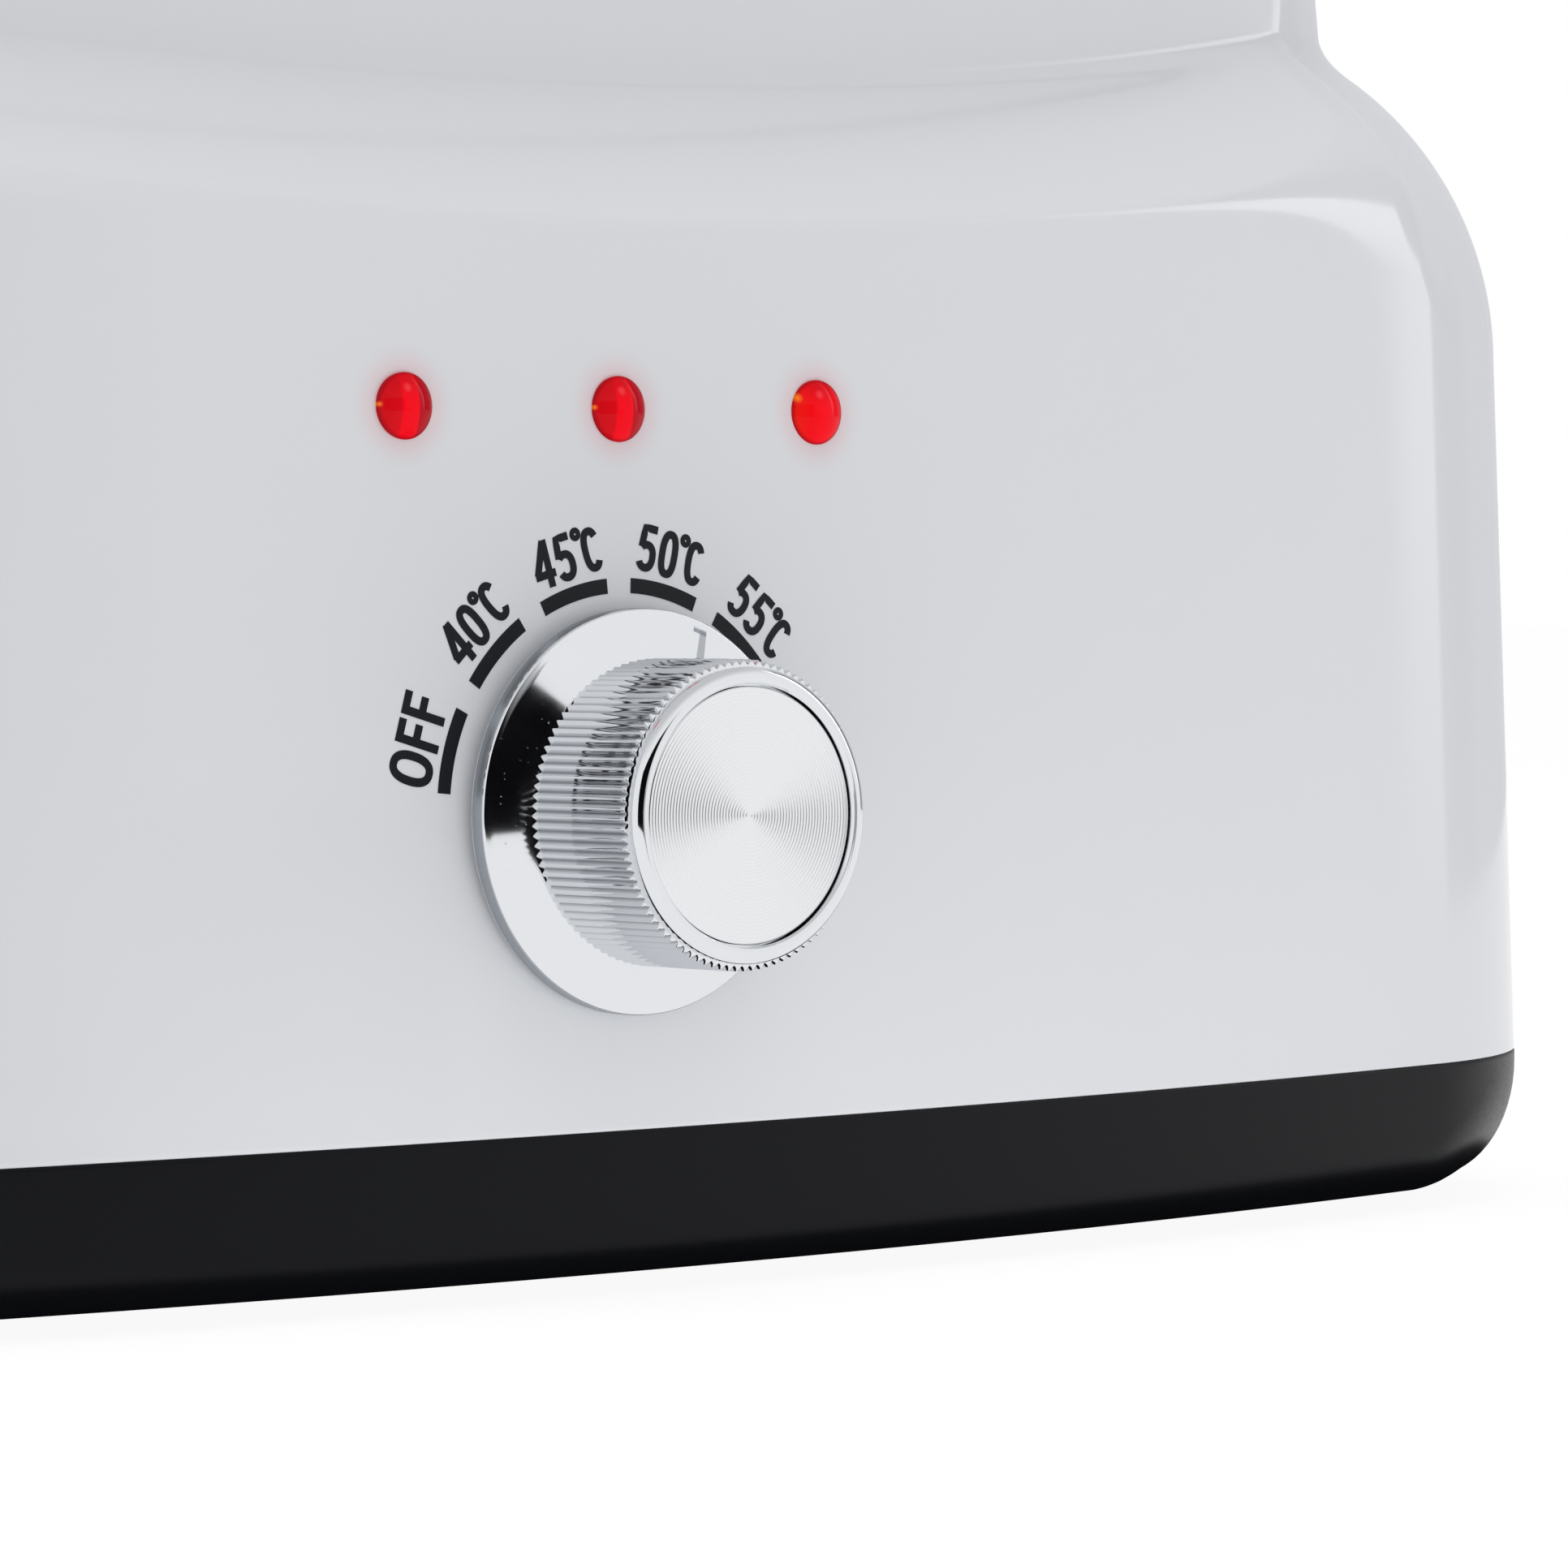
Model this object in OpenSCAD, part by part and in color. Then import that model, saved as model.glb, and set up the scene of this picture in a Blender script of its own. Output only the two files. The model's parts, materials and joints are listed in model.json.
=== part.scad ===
// Paraffin wax bath: an electric hand bath with a bowed housing on a shallow base,
// a hanging wax tank with a lift-off lid, a thermostat dial and three indicator lenses.
// Millimetres, +Z up, front towards -Y. The origin is under the middle of the whole part.

/* [Housing] */
// Width of the housing at its lower edge
body_w = 328; // [312:1:350]
// Depth of the housing at its lower edge
body_d = 226; // [218:1:250]
// Corner radius of the plan at the lower edge
corner_r = 50; // [46:1:58]
// Radius of the bowed front and back walls
bow_r = 650; // [560:10:900]
// Thickness of the housing wall
wall = 2.6; // [2.2:0.1:3]
// Lean of the walls
draft_deg = 1.6; // [1.2:0.1:2]
// Width of the shoulder between the walls and the neck
shoulder_w = 20; // [18:0.5:22]
// Height above the base where the rounded side shoulder starts
side_shoulder_h = 93; // [90:0.5:97]
// Radius of the rounded side shoulder
side_shoulder_r = 40; // [38:1:44]
// Height above the base where the sloped front shoulder starts
front_shoulder_h = 103; // [100:0.5:106]
// Slope of the front shoulder
front_slope_deg = 39; // [36:0.5:42]
// Softness of the edge between the two shoulders
shoulder_blend = 4; // [2:0.5:6]
// Radius of the hollow corner where the neck meets the shoulder
neck_fillet = 3; // [2:0.5:4]
// Height of the neck rim above the base
rim_h = 156; // [152:1:166]
// Lean of the neck
neck_draft_deg = 3; // [2:0.5:4]
// Width of the ledge inside the rim that carries the tank
ledge_w = 8; // [7:0.5:10]

/* [Base] */
// Height of the black base
base_h = 14; // [12:0.5:16]
// Radius of the base's lower edge
base_edge_r = 11; // [9:0.5:11.5]
// Thickness of the base floor
floor_t = 2.6; // [2.2:0.1:3.2]
// Height of the tongue that locates the housing on the base
lip_h = 4; // [3:0.5:5]
// Thickness of the tongue
lip_t = 2; // [1.6:0.1:2.4]
// Height of the rubber feet below the base
foot_h = 2.5; // [2:0.5:3]
// Radius of a rubber foot
foot_r = 9; // [7:0.5:11]
// Distance of the feet from the base outline
foot_inset = 50; // [44:1:56]
// Distance of the base screws from the base outline
screw_inset = 14.5; // [14:0.5:18]

/* [Dial] */
// Height of the dial axis above the base
dial_h = 45.4; // [43:0.2:50]
// Radius of the knob skirt
skirt_r = 20; // [18:0.5:22]
// Thickness of the knob skirt
skirt_t = 2.2; // [1.8:0.1:2.6]
// Rise of the skirt's cone from its edge to the grip
skirt_rise = 1.15; // [0.8:0.05:1.6]
// Radius of the knurled grip
grip_r = 15.1; // [14.5:0.1:16]
// Depth of the knurling
knurl_d = 0.45; // [0.3:0.05:0.6]
// Number of knurls round the grip
knurls = 96; // [72:2:110]
// Distance from the skirt's back to the knob's front rim
knob_l = 18.7; // [17.5:0.1:21]
// Radius of the turned disc in the knob's front
disc_r = 12.5; // [11:0.1:13]
// Radius of the thermostat shaft
shaft_r = 3; // [2.5:0.5:3.5]
// Gap between the knob skirt and the front wall at the axis
knob_gap = 0.9; // [0.8:0.1:1.5]
// Angle of the pointer from upright at rest, clockwise seen from the front
pointer_deg = 21; // [-75:1:41]

/* [Indicators] */
// Height of the indicator row above the base
lamp_h = 85; // [82:0.5:87]
// Distance between neighbouring indicators
lamp_pitch = 25.75; // [22:0.25:28]
// Radius of an indicator lens
lens_r = 3.25; // [2.75:0.05:3.5]
// Height of the lens dome
lens_dome = 1.1; // [0.8:0.1:1.5]

/* [Tank] */
// Inside depth of the wax tank
tank_depth = 85; // [76:1:90]
// Corner radius of the tank plan
tank_corner_r = 28; // [24:1:34]
// Radius between the tank wall and its floor
tank_floor_r = 12; // [10:0.5:14]
// Sheet thickness of the tank
sheet_t = 1.2; // [1:0.1:1.5]
// Thickness of the silicone gasket under the tank flange
gasket_t = 1.5; // [1:0.1:2]
// Thickness of the insulating sleeve round the tank
sleeve_t = 5; // [4:0.5:6]
// Clear space between the heating element and the clips of the sensing bulb
heater_gap = 8; // [6:0.5:16]
// Depth of the heating element
heater_d = 100; // [84:1:106]
// Thickness of the heating element
heater_t = 1.6; // [1.2:0.1:2]
// Length of the temperature sensing bulb
bulb_l = 76; // [66:1:86]

/* [Lid] */
// Wall thickness of the lid
lid_wall = 2.4; // [2:0.1:2.8]
// Depth of the lid's skirt below the tank flange
lid_skirt_h = 11; // [9:0.5:13]
// Radius of the lid's upper edge
lid_edge_r = 16; // [13:0.5:18]
// Height of the raised panel on the lid
lid_panel_h = 3; // [2:0.5:4]
// Length of the lid handle
handle_l = 112; // [96:1:124]
// Height of the lid handle
handle_h = 27; // [24:0.5:32]
// Width of the lid handle
handle_w = 20; // [16:0.5:24]
// Thickness of the handle's bar
handle_t = 8; // [6.5:0.5:9]

/* [Grille] */
// Thickness of the grille that keeps hands off the tank floor
grille_t = 4; // [3:0.5:5]
// Height of the grille legs
grille_leg_h = 8; // [6:0.5:10]
// Spacing of the grille bars
grille_pitch = 20; // [18:0.5:24]
// Width of a grille bar
grille_bar = 4; // [3:0.5:5]

/* [Mains inlet] */
// Height of the inlet above the base
inlet_h = 42; // [36:0.5:46]
// Width of the inlet flange
inlet_w = 50; // [48:0.5:52]
// Height of the inlet flange
inlet_flange_h = 24; // [23:0.5:27]
// Thickness of the inlet flange
inlet_flange_t = 2.5; // [2:0.1:3]

/* [Hidden] */

$fn = 48;
eps = 0.02;

// Clearances
slip = 0.05;
fit_gap = 0.15;
free_gap = 0.3;

// Heights
z_base = foot_h;
z_floor = z_base + floor_t;
z_seam = z_base + base_h;
z_side = z_base + side_shoulder_h;
z_front = z_base + front_shoulder_h;
z_rim = z_base + rim_h;
z_flange = z_rim + gasket_t + sheet_t;
z_tank_in = z_flange - tank_depth;
z_tank = z_tank_in - sheet_t;
z_dial = z_base + dial_h;
z_lamp = z_base + lamp_h;
z_inlet = z_base + inlet_h;

// Plan of the housing
half_w = body_w / 2;
half_d = body_d / 2;
draft = tan(draft_deg);
wall_top_in = draft * (z_side - z_seam);
front_top_in = draft * (z_front - z_seam);
neck_in = wall_top_in + shoulder_w;
rim_in = neck_in + tan(neck_draft_deg) * (z_rim - z_side - side_shoulder_r);
front_slope = tan(front_slope_deg);

// Points on each arc of a plan outline
bow_steps = 14;
corner_steps = 9;

function bow_angle(w, rc, rb) = asin((w - rc) / (rb - rc));
function corner_x(w, rc) = w - rc;
function corner_y(w, d, rc, rb) = d - rb + sqrt(pow(rb - rc, 2) - pow(w - rc, 2));

// A rounded rectangle with bowed front and back, anticlockwise from above and inset evenly.
function outline(w, d, rc, rb, inset) =
    let (phi = bow_angle(w, rc, rb), cx = corner_x(w, rc), cy = corner_y(w, d, rc, rb))
    let (r = rc - inset, big = rb - inset, turn = (90 - phi) / corner_steps)
    concat(
        [for (k = [0 : bow_steps - 1])
            let (t = phi * (2 * k / bow_steps - 1)) [big * sin(t), rb - d - big * cos(t)]],
        [for (k = [0 : corner_steps])
            let (t = phi + turn * k) [cx + r * sin(t), -cy - r * cos(t)]],
        [for (k = [0 : corner_steps - 1])
            let (t = 90 + turn * k) [cx + r * sin(t), cy - r * cos(t)]],
        [for (k = [0 : bow_steps - 1])
            let (t = phi * (1 - 2 * k / bow_steps)) [big * sin(t), d - rb + big * cos(t)]],
        [for (k = [0 : corner_steps])
            let (t = 180 + phi + turn * k) [-cx + r * sin(t), cy - r * cos(t)]],
        [for (k = [0 : corner_steps - 1])
            let (t = 270 + turn * k) [-cx + r * sin(t), -cy - r * cos(t)]]);

function body_outline(inset) = outline(half_w, half_d, corner_r, bow_r, inset);
function level(points, z) = [for (p = points) [p.x, p.y, z]];
function body_ring(inset, z) = level(body_outline(inset), z);

// Inset of the housing wall at a height, and the place of its front face.
function wall_in(z) = draft * (z - z_seam);
function bow_back(x) = bow_r - sqrt(bow_r * bow_r - x * x);
function front_y(x, z) = -half_d + wall_in(z) + bow_back(x);

// Height of the shoulder: a swept side round, cut by sloped planes at the front and back.
function soft_min(a, b, k) = let (h = max(k - abs(a - b), 0) / k) min(a, b) - h * h * k / 4;
function side_round(s) = z_side + sqrt(pow(side_shoulder_r, 2) - pow(side_shoulder_r - s, 2));
function slope_plane(y) = z_front + front_slope * (half_d - abs(y) - front_top_in);
function shoulder_z(s, y) = soft_min(side_round(s), slope_plane(y), shoulder_blend);
function shoulder_ring(s, lift) =
    [for (p = body_outline(wall_top_in + s)) [p.x, p.y, shoulder_z(s, p.y) + lift]];

// Shoulder stations: close together where the round leaves the wall.
shoulder_turn = acos(1 - shoulder_w / side_shoulder_r);
shoulder_steps = 8;
function station(k) = side_shoulder_r * (1 - cos(shoulder_turn * k / shoulder_steps));

// Skin between successive rings of equally many points, closed to a loop or capped at both ends.
function skin(n, rings, loop) =
    [for (r = [0 : (loop ? rings : rings - 1) - 1], k = [0 : n - 1], half = [0, 1])
        let (a = r * n, b = ((r + 1) % rings) * n, m = (k + 1) % n)
        half == 0 ? [a + k, b + k, b + m] : [a + k, b + m, a + m]];

module ring_solid(rings, loop = false) {
    n = len(rings[0]);
    points = [for (ring = rings, p = ring) p];
    last = (len(rings) - 1) * n;
    caps = loop ? [] : [[for (k = [0 : n - 1]) k], [for (k = [n - 1 : -1 : 0]) last + k]];
    polyhedron(points, concat(skin(n, len(rings), loop), caps), convexity = 8);
}

// A round tube along a smooth curve through hand-chosen points.
tube_sides = 8;
tube_steps = 4;
function curve_point(p, k, t) =
    let (a = p[max(k - 1, 0)], b = p[k], c = p[k + 1], d = p[min(k + 2, len(p) - 1)])
    0.5 * (2 * b + (c - a) * t + (2 * a - 5 * b + 4 * c - d) * t * t + (3 * b - a - 3 * c + d) * t * t * t);
function curve(p) =
    concat([for (k = [0 : len(p) - 2], s = [0 : tube_steps - 1]) curve_point(p, k, s / tube_steps)],
        [p[len(p) - 1]]);
function unit(v) = v / norm(v);
function tube_ring(path, k, r, side) =
    let (t = unit(path[min(k + 1, len(path) - 1)] - path[max(k - 1, 0)]))
    let (u = unit(cross(side, t)), v = cross(t, u))
    [for (j = [0 : tube_sides - 1])
        let (a = 360 * j / tube_sides) path[k] + r * (u * cos(a) + v * sin(a))];

module tube(points, r, side = [1, 0, 0]) {
    path = curve(points);
    ring_solid([for (k = [0 : len(path) - 1]) tube_ring(path, k, r, side)]);
}

// Turns +Z towards the front, so a turned shape grows out of the front wall.
module to_front(x, y, z) {
    translate([x, y, z]) rotate([90, 0, 0]) children();
}

module hex_nut(across, h, bore) {
    difference() {
        cylinder(r = across / 2 / cos(30), h = h, $fn = 6);
        translate([0, 0, -1]) cylinder(r = bore, h = h + 2);
    }
}

// The middle of the part's box: the knob reaches further forward than the inlet reaches back.
inlet_pad_t = 0.6;
inlet_face_y = half_d + inlet_pad_t;
panel_y = front_y(0, z_dial);
inlet_head_h = 1.8;
front_reach = knob_gap + knob_l - panel_y;
back_reach = inlet_face_y + inlet_flange_t + inlet_head_h;
y_shift = (front_reach - back_reach) / 2;
module place() {
    translate([0, y_shift, 0]) children();
}

// Housing and base screws
boss_r = 4.5;
boss_h = 24;
pilot_r = 1.75;
rib_t = 2.4;
z_boss = z_seam + lip_h + 0.5;
tower_r = 5;
screw_r = pilot_r - slip;
head_r = 3.6;
head_h = 2.4;
head_sink = 7;
screw_reach = 14;
corner_turn = 50;
corner_cy = corner_y(half_w, half_d, corner_r, bow_r);
boss_arc = corner_r - screw_inset;
boss_x = corner_x(half_w, corner_r) + boss_arc * sin(corner_turn);
boss_y = corner_cy + boss_arc * cos(corner_turn);
boss_spots = concat(
    [for (sx = [-1, 1], sy = [-1, 1])
        [sx * boss_x, sy * boss_y, atan2(sy * cos(corner_turn), sx * sin(corner_turn))]],
    [for (sx = [-1, 1]) [sx * (half_w - screw_inset), 0, sx > 0 ? 0 : 180]]);

module at_bosses(z) {
    for (s = boss_spots)
        translate([s.x, s.y, z]) rotate(s.z) children();
}

// Front wall fittings
bushing_r = 5;
spot_sink = 0.3;
spot_r = 9.6;
pad_r = 15;
pad_t = 1.2;
spot_y = panel_y + spot_sink;
pad_y = panel_y + wall + pad_t;
lens_hole_r = lens_r + 0.05;
board_gap = 11;
board_t = 1.6;
board_w = 86;
board_h = 14;
board_y = front_y(0, z_lamp) + wall + board_gap;
board_screw_x = 37.5;
board_boss_r = 3.4;
board_pilot_r = 1.25;

// Back wall fittings
inlet_pad_w = inlet_w + 6;
inlet_pad_h = inlet_flange_h + 6;
inlet_body_w = 29;
inlet_body_h = 21;
inlet_body_l = 24;
inlet_screw_x = 20;
inlet_pilot_r = 1.3;

// Rings of the housing's outside, from the seam up to the rim
function housing_outside() = concat(
    [body_ring(0, z_seam)],
    [for (k = [0 : shoulder_steps - 1]) shoulder_ring(station(k), 0)],
    [shoulder_ring(shoulder_w - neck_fillet * 0.7, 0)],
    [shoulder_ring(shoulder_w, neck_fillet * 0.8)],
    [body_ring(rim_in, z_rim)]);
// and of its inside, from the rim down to the seam
function inner_shoulder(s) =
    [for (p = body_outline(wall_top_in + s + wall))
        [p.x, p.y, shoulder_z(s, abs(p.y) + wall) - wall]];
function housing_inside() = concat(
    [body_ring(rim_in + wall + ledge_w, z_rim)],
    [body_ring(rim_in + wall + ledge_w, z_rim - wall)],
    [body_ring(rim_in + wall, z_rim - wall)],
    [for (k = [shoulder_steps : -2 : 0]) inner_shoulder(station(k))],
    [body_ring(wall, z_seam)]);

module housing() {
    color("#f1f2f4") place() difference() {
        union() {
            ring_solid(concat(housing_outside(), housing_inside()), loop = true);
            at_bosses(z_boss) {
                cylinder(r = boss_r, h = boss_h);
                translate([0, -rib_t / 2, 0]) cube([screw_inset - wall + 0.8, rib_t, boss_h]);
            }
            to_front(0, pad_y, z_dial) cylinder(r = pad_r, h = wall);
            for (sx = [-1, 1])
                to_front(sx * board_screw_x, board_y, z_lamp) cylinder(r = board_boss_r, h = board_gap);
            translate([-inlet_pad_w / 2, half_d - wall - 1, z_inlet - inlet_pad_h / 2])
                cube([inlet_pad_w, wall + 1 + inlet_pad_t, inlet_pad_h]);
        }
        at_bosses(z_boss - 1) cylinder(r = pilot_r, h = screw_reach + 2);
        to_front(0, pad_y + 1, z_dial) cylinder(r = bushing_r + fit_gap, h = wall + pad_t + 4);
        to_front(0, spot_y, z_dial) cylinder(r = spot_r, h = 3);
        for (k = [-1 : 1])
            to_front(k * lamp_pitch, board_y, z_lamp) cylinder(r = lens_hole_r, h = board_gap + wall + 3);
        for (sx = [-1, 1])
            to_front(sx * board_screw_x, board_y + 1, z_lamp) cylinder(r = board_pilot_r, h = board_gap);
        translate([-inlet_body_w / 2 - fit_gap, half_d - 8, z_inlet - inlet_body_h / 2 - fit_gap])
            cube([inlet_body_w + 2 * fit_gap, 12, inlet_body_h + 2 * fit_gap]);
        for (sx = [-1, 1])
            to_front(sx * inlet_screw_x, inlet_face_y + 1, z_inlet) cylinder(r = inlet_pilot_r, h = 8);
    }
}

// Base: a shallow tray with a rounded lower edge, a locating tongue and screw towers
base_tuck = 8;
edge_steps = 5;
lip_in = wall + 0.25;
foot_stem_r = 2.5;
foot_x = half_w - foot_inset;
foot_y = half_d - foot_inset;
foot_hole_r = foot_stem_r + 0.1;
vent_w = 3;
vent_l = 46;
vent_pitch = 9;
vents = 6;
vent_x = 62;
vent_y = -30;
block_y = 34;
block_boss_x = 31;
block_boss_r = 4;
block_boss_h = 5;
block_pilot_r = 1.25;

function base_outside() = concat(
    [for (k = [0 : edge_steps])
        let (a = 90 * k / edge_steps)
        body_ring(base_tuck * (1 - sin(a)), z_base + base_edge_r * (1 - cos(a)))],
    [body_ring(0, z_seam), body_ring(lip_in, z_seam), body_ring(lip_in, z_seam + lip_h)]);
function base_inside() = [
    body_ring(lip_in + lip_t, z_seam + lip_h),
    body_ring(lip_in + lip_t, z_base + base_edge_r),
    body_ring(base_tuck + floor_t, z_floor)];

module at_feet(z) {
    for (sx = [-1, 1], sy = [-1, 1])
        translate([sx * foot_x, sy * foot_y, z]) children();
}

module base_pan() {
    color("#161719") place() difference() {
        union() {
            ring_solid(concat(base_outside(), base_inside()));
            at_bosses(z_base) cylinder(r = tower_r, h = z_boss - fit_gap - z_base);
            for (sx = [-1, 1])
                translate([sx * block_boss_x, block_y, z_base + 1])
                    cylinder(r = block_boss_r, h = floor_t - 1 + block_boss_h);
        }
        at_bosses(z_base - 1) cylinder(r = pilot_r + 0.35, h = base_h + lip_h + 4);
        at_bosses(z_base - 1) cylinder(r = head_r + 0.5, h = head_sink + 1);
        at_feet(z_base - 1) cylinder(r = foot_hole_r, h = floor_t + 2);
        for (sx = [-1, 1], k = [0 : vents - 1])
            translate([sx * vent_x, vent_y + (k - (vents - 1) / 2) * vent_pitch, z_base - 1])
                translate([-vent_l / 2, -vent_w / 2]) cube([vent_l, vent_w, floor_t + 2]);
        for (sx = [-1, 1])
            translate([sx * block_boss_x, block_y, z_floor])
                cylinder(r = block_pilot_r, h = block_boss_h + 1);
    }
}

// Push-in rubber feet, held by the bulb on the stem
module rubber_feet() {
    stem_h = floor_t + 0.2;
    color("#2a2b2d") place() at_feet(0) rotate_extrude()
        polygon([[0, 0], [foot_r - 1, 0], [foot_r, 0.8], [foot_r, foot_h - slip],
            [foot_stem_r, foot_h - slip], [foot_stem_r, foot_h + stem_h],
            [foot_stem_r + 1.2, foot_h + stem_h + 0.6],
            [foot_stem_r, foot_h + stem_h + 3.5], [0, foot_h + stem_h + 3.5]]);
}

module base_screws() {
    color("#b9bcc0") place() at_bosses(z_base + head_sink) difference() {
        union() {
            translate([0, 0, -head_h]) cylinder(r = head_r, h = head_h);
            cylinder(r = screw_r, h = z_boss - z_base - head_sink + screw_reach);
        }
        for (turn = [0, 90])
            rotate(turn) translate([-2, -0.4, -head_h - 1]) cube([4, 0.8, 2.2]);
    }
}

// Wax tank: deep-drawn aluminium, hung by its flange on the ledge
tank_gap = 1.5;
tank_in = rim_in + wall + ledge_w + tank_gap;
tank_w = half_w - tank_in;
tank_d = half_d - tank_in;
tank_bow_r = bow_r - tank_in;
flange_in = rim_in + 0.6;
stud_r = 2;
stud_l = 12;
stud_inset = 14;
bulb_r = 3;
clip_t = 0.8;
clip_foot = 6;
bulb_x = tank_w - tank_floor_r - bulb_r - clip_t - clip_foot;
heater_w = 2 * (bulb_x - bulb_r - slip - clip_foot - heater_gap);
stud_x = heater_w / 2 - stud_inset;
stud_y = heater_d / 2 - stud_inset;

function tank_ring(inset, z) = level(outline(tank_w, tank_d, tank_corner_r, tank_bow_r, inset), z);
function tank_floor(r, inset, z) =
    [for (k = [0 : 4]) let (a = 22.5 * k) tank_ring(inset + r * (1 - sin(a)), z + r * (1 - cos(a)))];
function reversed(list) = [for (k = [len(list) - 1 : -1 : 0]) list[k]];

module at_studs(z) {
    for (sx = [-1, 1], sy = [-1, 1])
        translate([sx * stud_x, sy * stud_y, z]) children();
}

module wax_tank() {
    z_under = z_flange - sheet_t;
    color("#c9cbcc") place() union() {
        ring_solid(concat(
            tank_floor(tank_floor_r, 0, z_tank),
            [tank_ring(0, z_under), body_ring(flange_in, z_under), body_ring(flange_in, z_flange),
                tank_ring(sheet_t, z_flange)],
            reversed(tank_floor(tank_floor_r - sheet_t, sheet_t, z_tank_in))));
        at_studs(z_tank - stud_l) cylinder(r = stud_r, h = stud_l + sheet_t / 2);
    }
}

module rim_gasket() {
    color("#8f9296") place() translate([0, 0, z_rim]) linear_extrude(gasket_t) difference() {
        polygon(body_outline(flange_in));
        polygon(body_outline(rim_in + wall + ledge_w - 0.5));
    }
}

// Insulating sleeve round the tank wall
sleeve_gap = 0.3;
module insulation_sleeve() {
    low = z_tank + tank_floor_r + 1;
    color("#d8d2bf") place() translate([0, 0, low]) linear_extrude(z_rim - wall - 3 - low) difference() {
        polygon(outline(tank_w, tank_d, tank_corner_r, tank_bow_r, -sleeve_gap - sleeve_t));
        polygon(outline(tank_w, tank_d, tank_corner_r, tank_bow_r, -sleeve_gap));
    }
}

// Heating element under the tank, pressed up by a clamp plate on four studs
plate_t = 1.5;
plate_margin = 2;
tab_w = 6.3;
tab_t = 0.8;
tab_drop = 12;
heater_tab_x = 18;
z_plate = z_tank - heater_t - plate_t;
nut_h = 3.2;
nut_across = 7;
cutout_r = 8.5;
cutout_h = 7;
cutout_flange_t = 1;
cutout_flange_w = 32;
cutout_screw_x = 12;
cutout_screw_r = 1.5;
cutout_head_h = 1.8;
cutout_tab_x = 4;
cutout_tab_l = 7;

module heating_element() {
    color("#6d4a32") place() difference() {
        union() {
            translate([-heater_w / 2, -heater_d / 2, z_tank - heater_t]) cube([heater_w, heater_d, heater_t]);
            for (sx = [-1, 1])
                translate([sx * heater_tab_x - tab_w / 2, heater_d / 2 - tab_t, z_tank - tab_drop])
                    cube([tab_w, tab_t, tab_drop]);
        }
        at_studs(z_tank - heater_t - 1) cylinder(r = stud_r + 0.3, h = heater_t + 2);
    }
}

module heater_clamp_plate() {
    plate_w = heater_w - 2 * plate_margin;
    plate_d = heater_d - 2 * plate_margin;
    color("#b4b7ba") place() difference() {
        translate([-plate_w / 2, -plate_d / 2, z_plate]) cube([plate_w, plate_d, plate_t]);
        at_studs(z_plate - 1) cylinder(r = stud_r + 0.2, h = plate_t + 2);
        for (sx = [-1, 1])
            translate([sx * cutout_screw_x, 0, z_plate - 1])
                cylinder(r = cutout_screw_r + slip, h = plate_t + 2);
    }
}

module clamp_nuts() {
    color("#c4a24a") place() at_studs(z_plate - nut_h) hex_nut(nut_across, nut_h, stud_r + slip);
}

// Overheat cut-out screwed flat against the clamp plate
module thermal_cutout() {
    color("#2c2c30") place() translate([0, 0, z_plate]) difference() {
        union() {
            translate([0, 0, -cutout_h]) cylinder(r = cutout_r, h = cutout_h);
            translate([-cutout_flange_w / 2, -cutout_screw_r * 3, -cutout_flange_t])
                cube([cutout_flange_w, cutout_screw_r * 6, cutout_flange_t]);
            for (sx = [-1, 1])
                translate([sx * cutout_tab_x - tab_t / 2, -tab_w / 2, -cutout_h - cutout_tab_l])
                    cube([tab_t, tab_w, cutout_tab_l + 1]);
        }
        for (sx = [-1, 1])
            translate([sx * cutout_screw_x, 0, -cutout_flange_t - 1])
                cylinder(r = cutout_screw_r + slip, h = cutout_flange_t + 2);
    }
}

module cutout_screws() {
    color("#b9bcc0") place()
        for (sx = [-1, 1])
            translate([sx * cutout_screw_x, 0, z_plate - cutout_flange_t]) {
                cylinder(r = cutout_screw_r, h = cutout_flange_t + plate_t - 0.1);
                translate([0, 0, -cutout_head_h]) cylinder(r = cutout_screw_r * 1.8, h = cutout_head_h);
            }
}

// Sensing bulb, clipped under the tank floor and joined to the thermostat by its capillary
clip_w = 8;
clip_y = 22;
z_bulb = z_tank - bulb_r - slip;
capillary_r = 0.9;

module sensing_bulb() {
    color("#b87333") place() translate([bulb_x, bulb_l / 2, z_bulb]) rotate([90, 0, 0])
        cylinder(r = bulb_r, h = bulb_l);
}

module bulb_clips() {
    bend_r = bulb_r + slip;
    color("#b4b7ba") place() for (sy = [-1, 1])
        translate([bulb_x, sy * clip_y + clip_w / 2, z_bulb]) rotate([90, 0, 0]) linear_extrude(clip_w) {
            difference() {
                circle(r = bend_r + clip_t);
                circle(r = bend_r);
                translate([-20, 0]) square([40, 20]);
            }
            for (sx = [-1, 1]) {
                translate([sx * (bend_r + clip_t / 2) - clip_t / 2, -eps]) square([clip_t, bend_r + eps]);
                translate([sx * (bend_r + clip_foot / 2) - clip_foot / 2, bend_r - clip_t])
                    square([clip_foot, clip_t]);
            }
        }
}

// Thermostat behind the front wall
therm_w = 36;
therm_h = 38;
therm_l = 20;
therm_tab_x = 8;
therm_tab_drop = 12;
therm_tab_l = 8;
bushing_l = 4.4;
shaft_back = 8;
therm_y = pad_y + therm_l;

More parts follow.
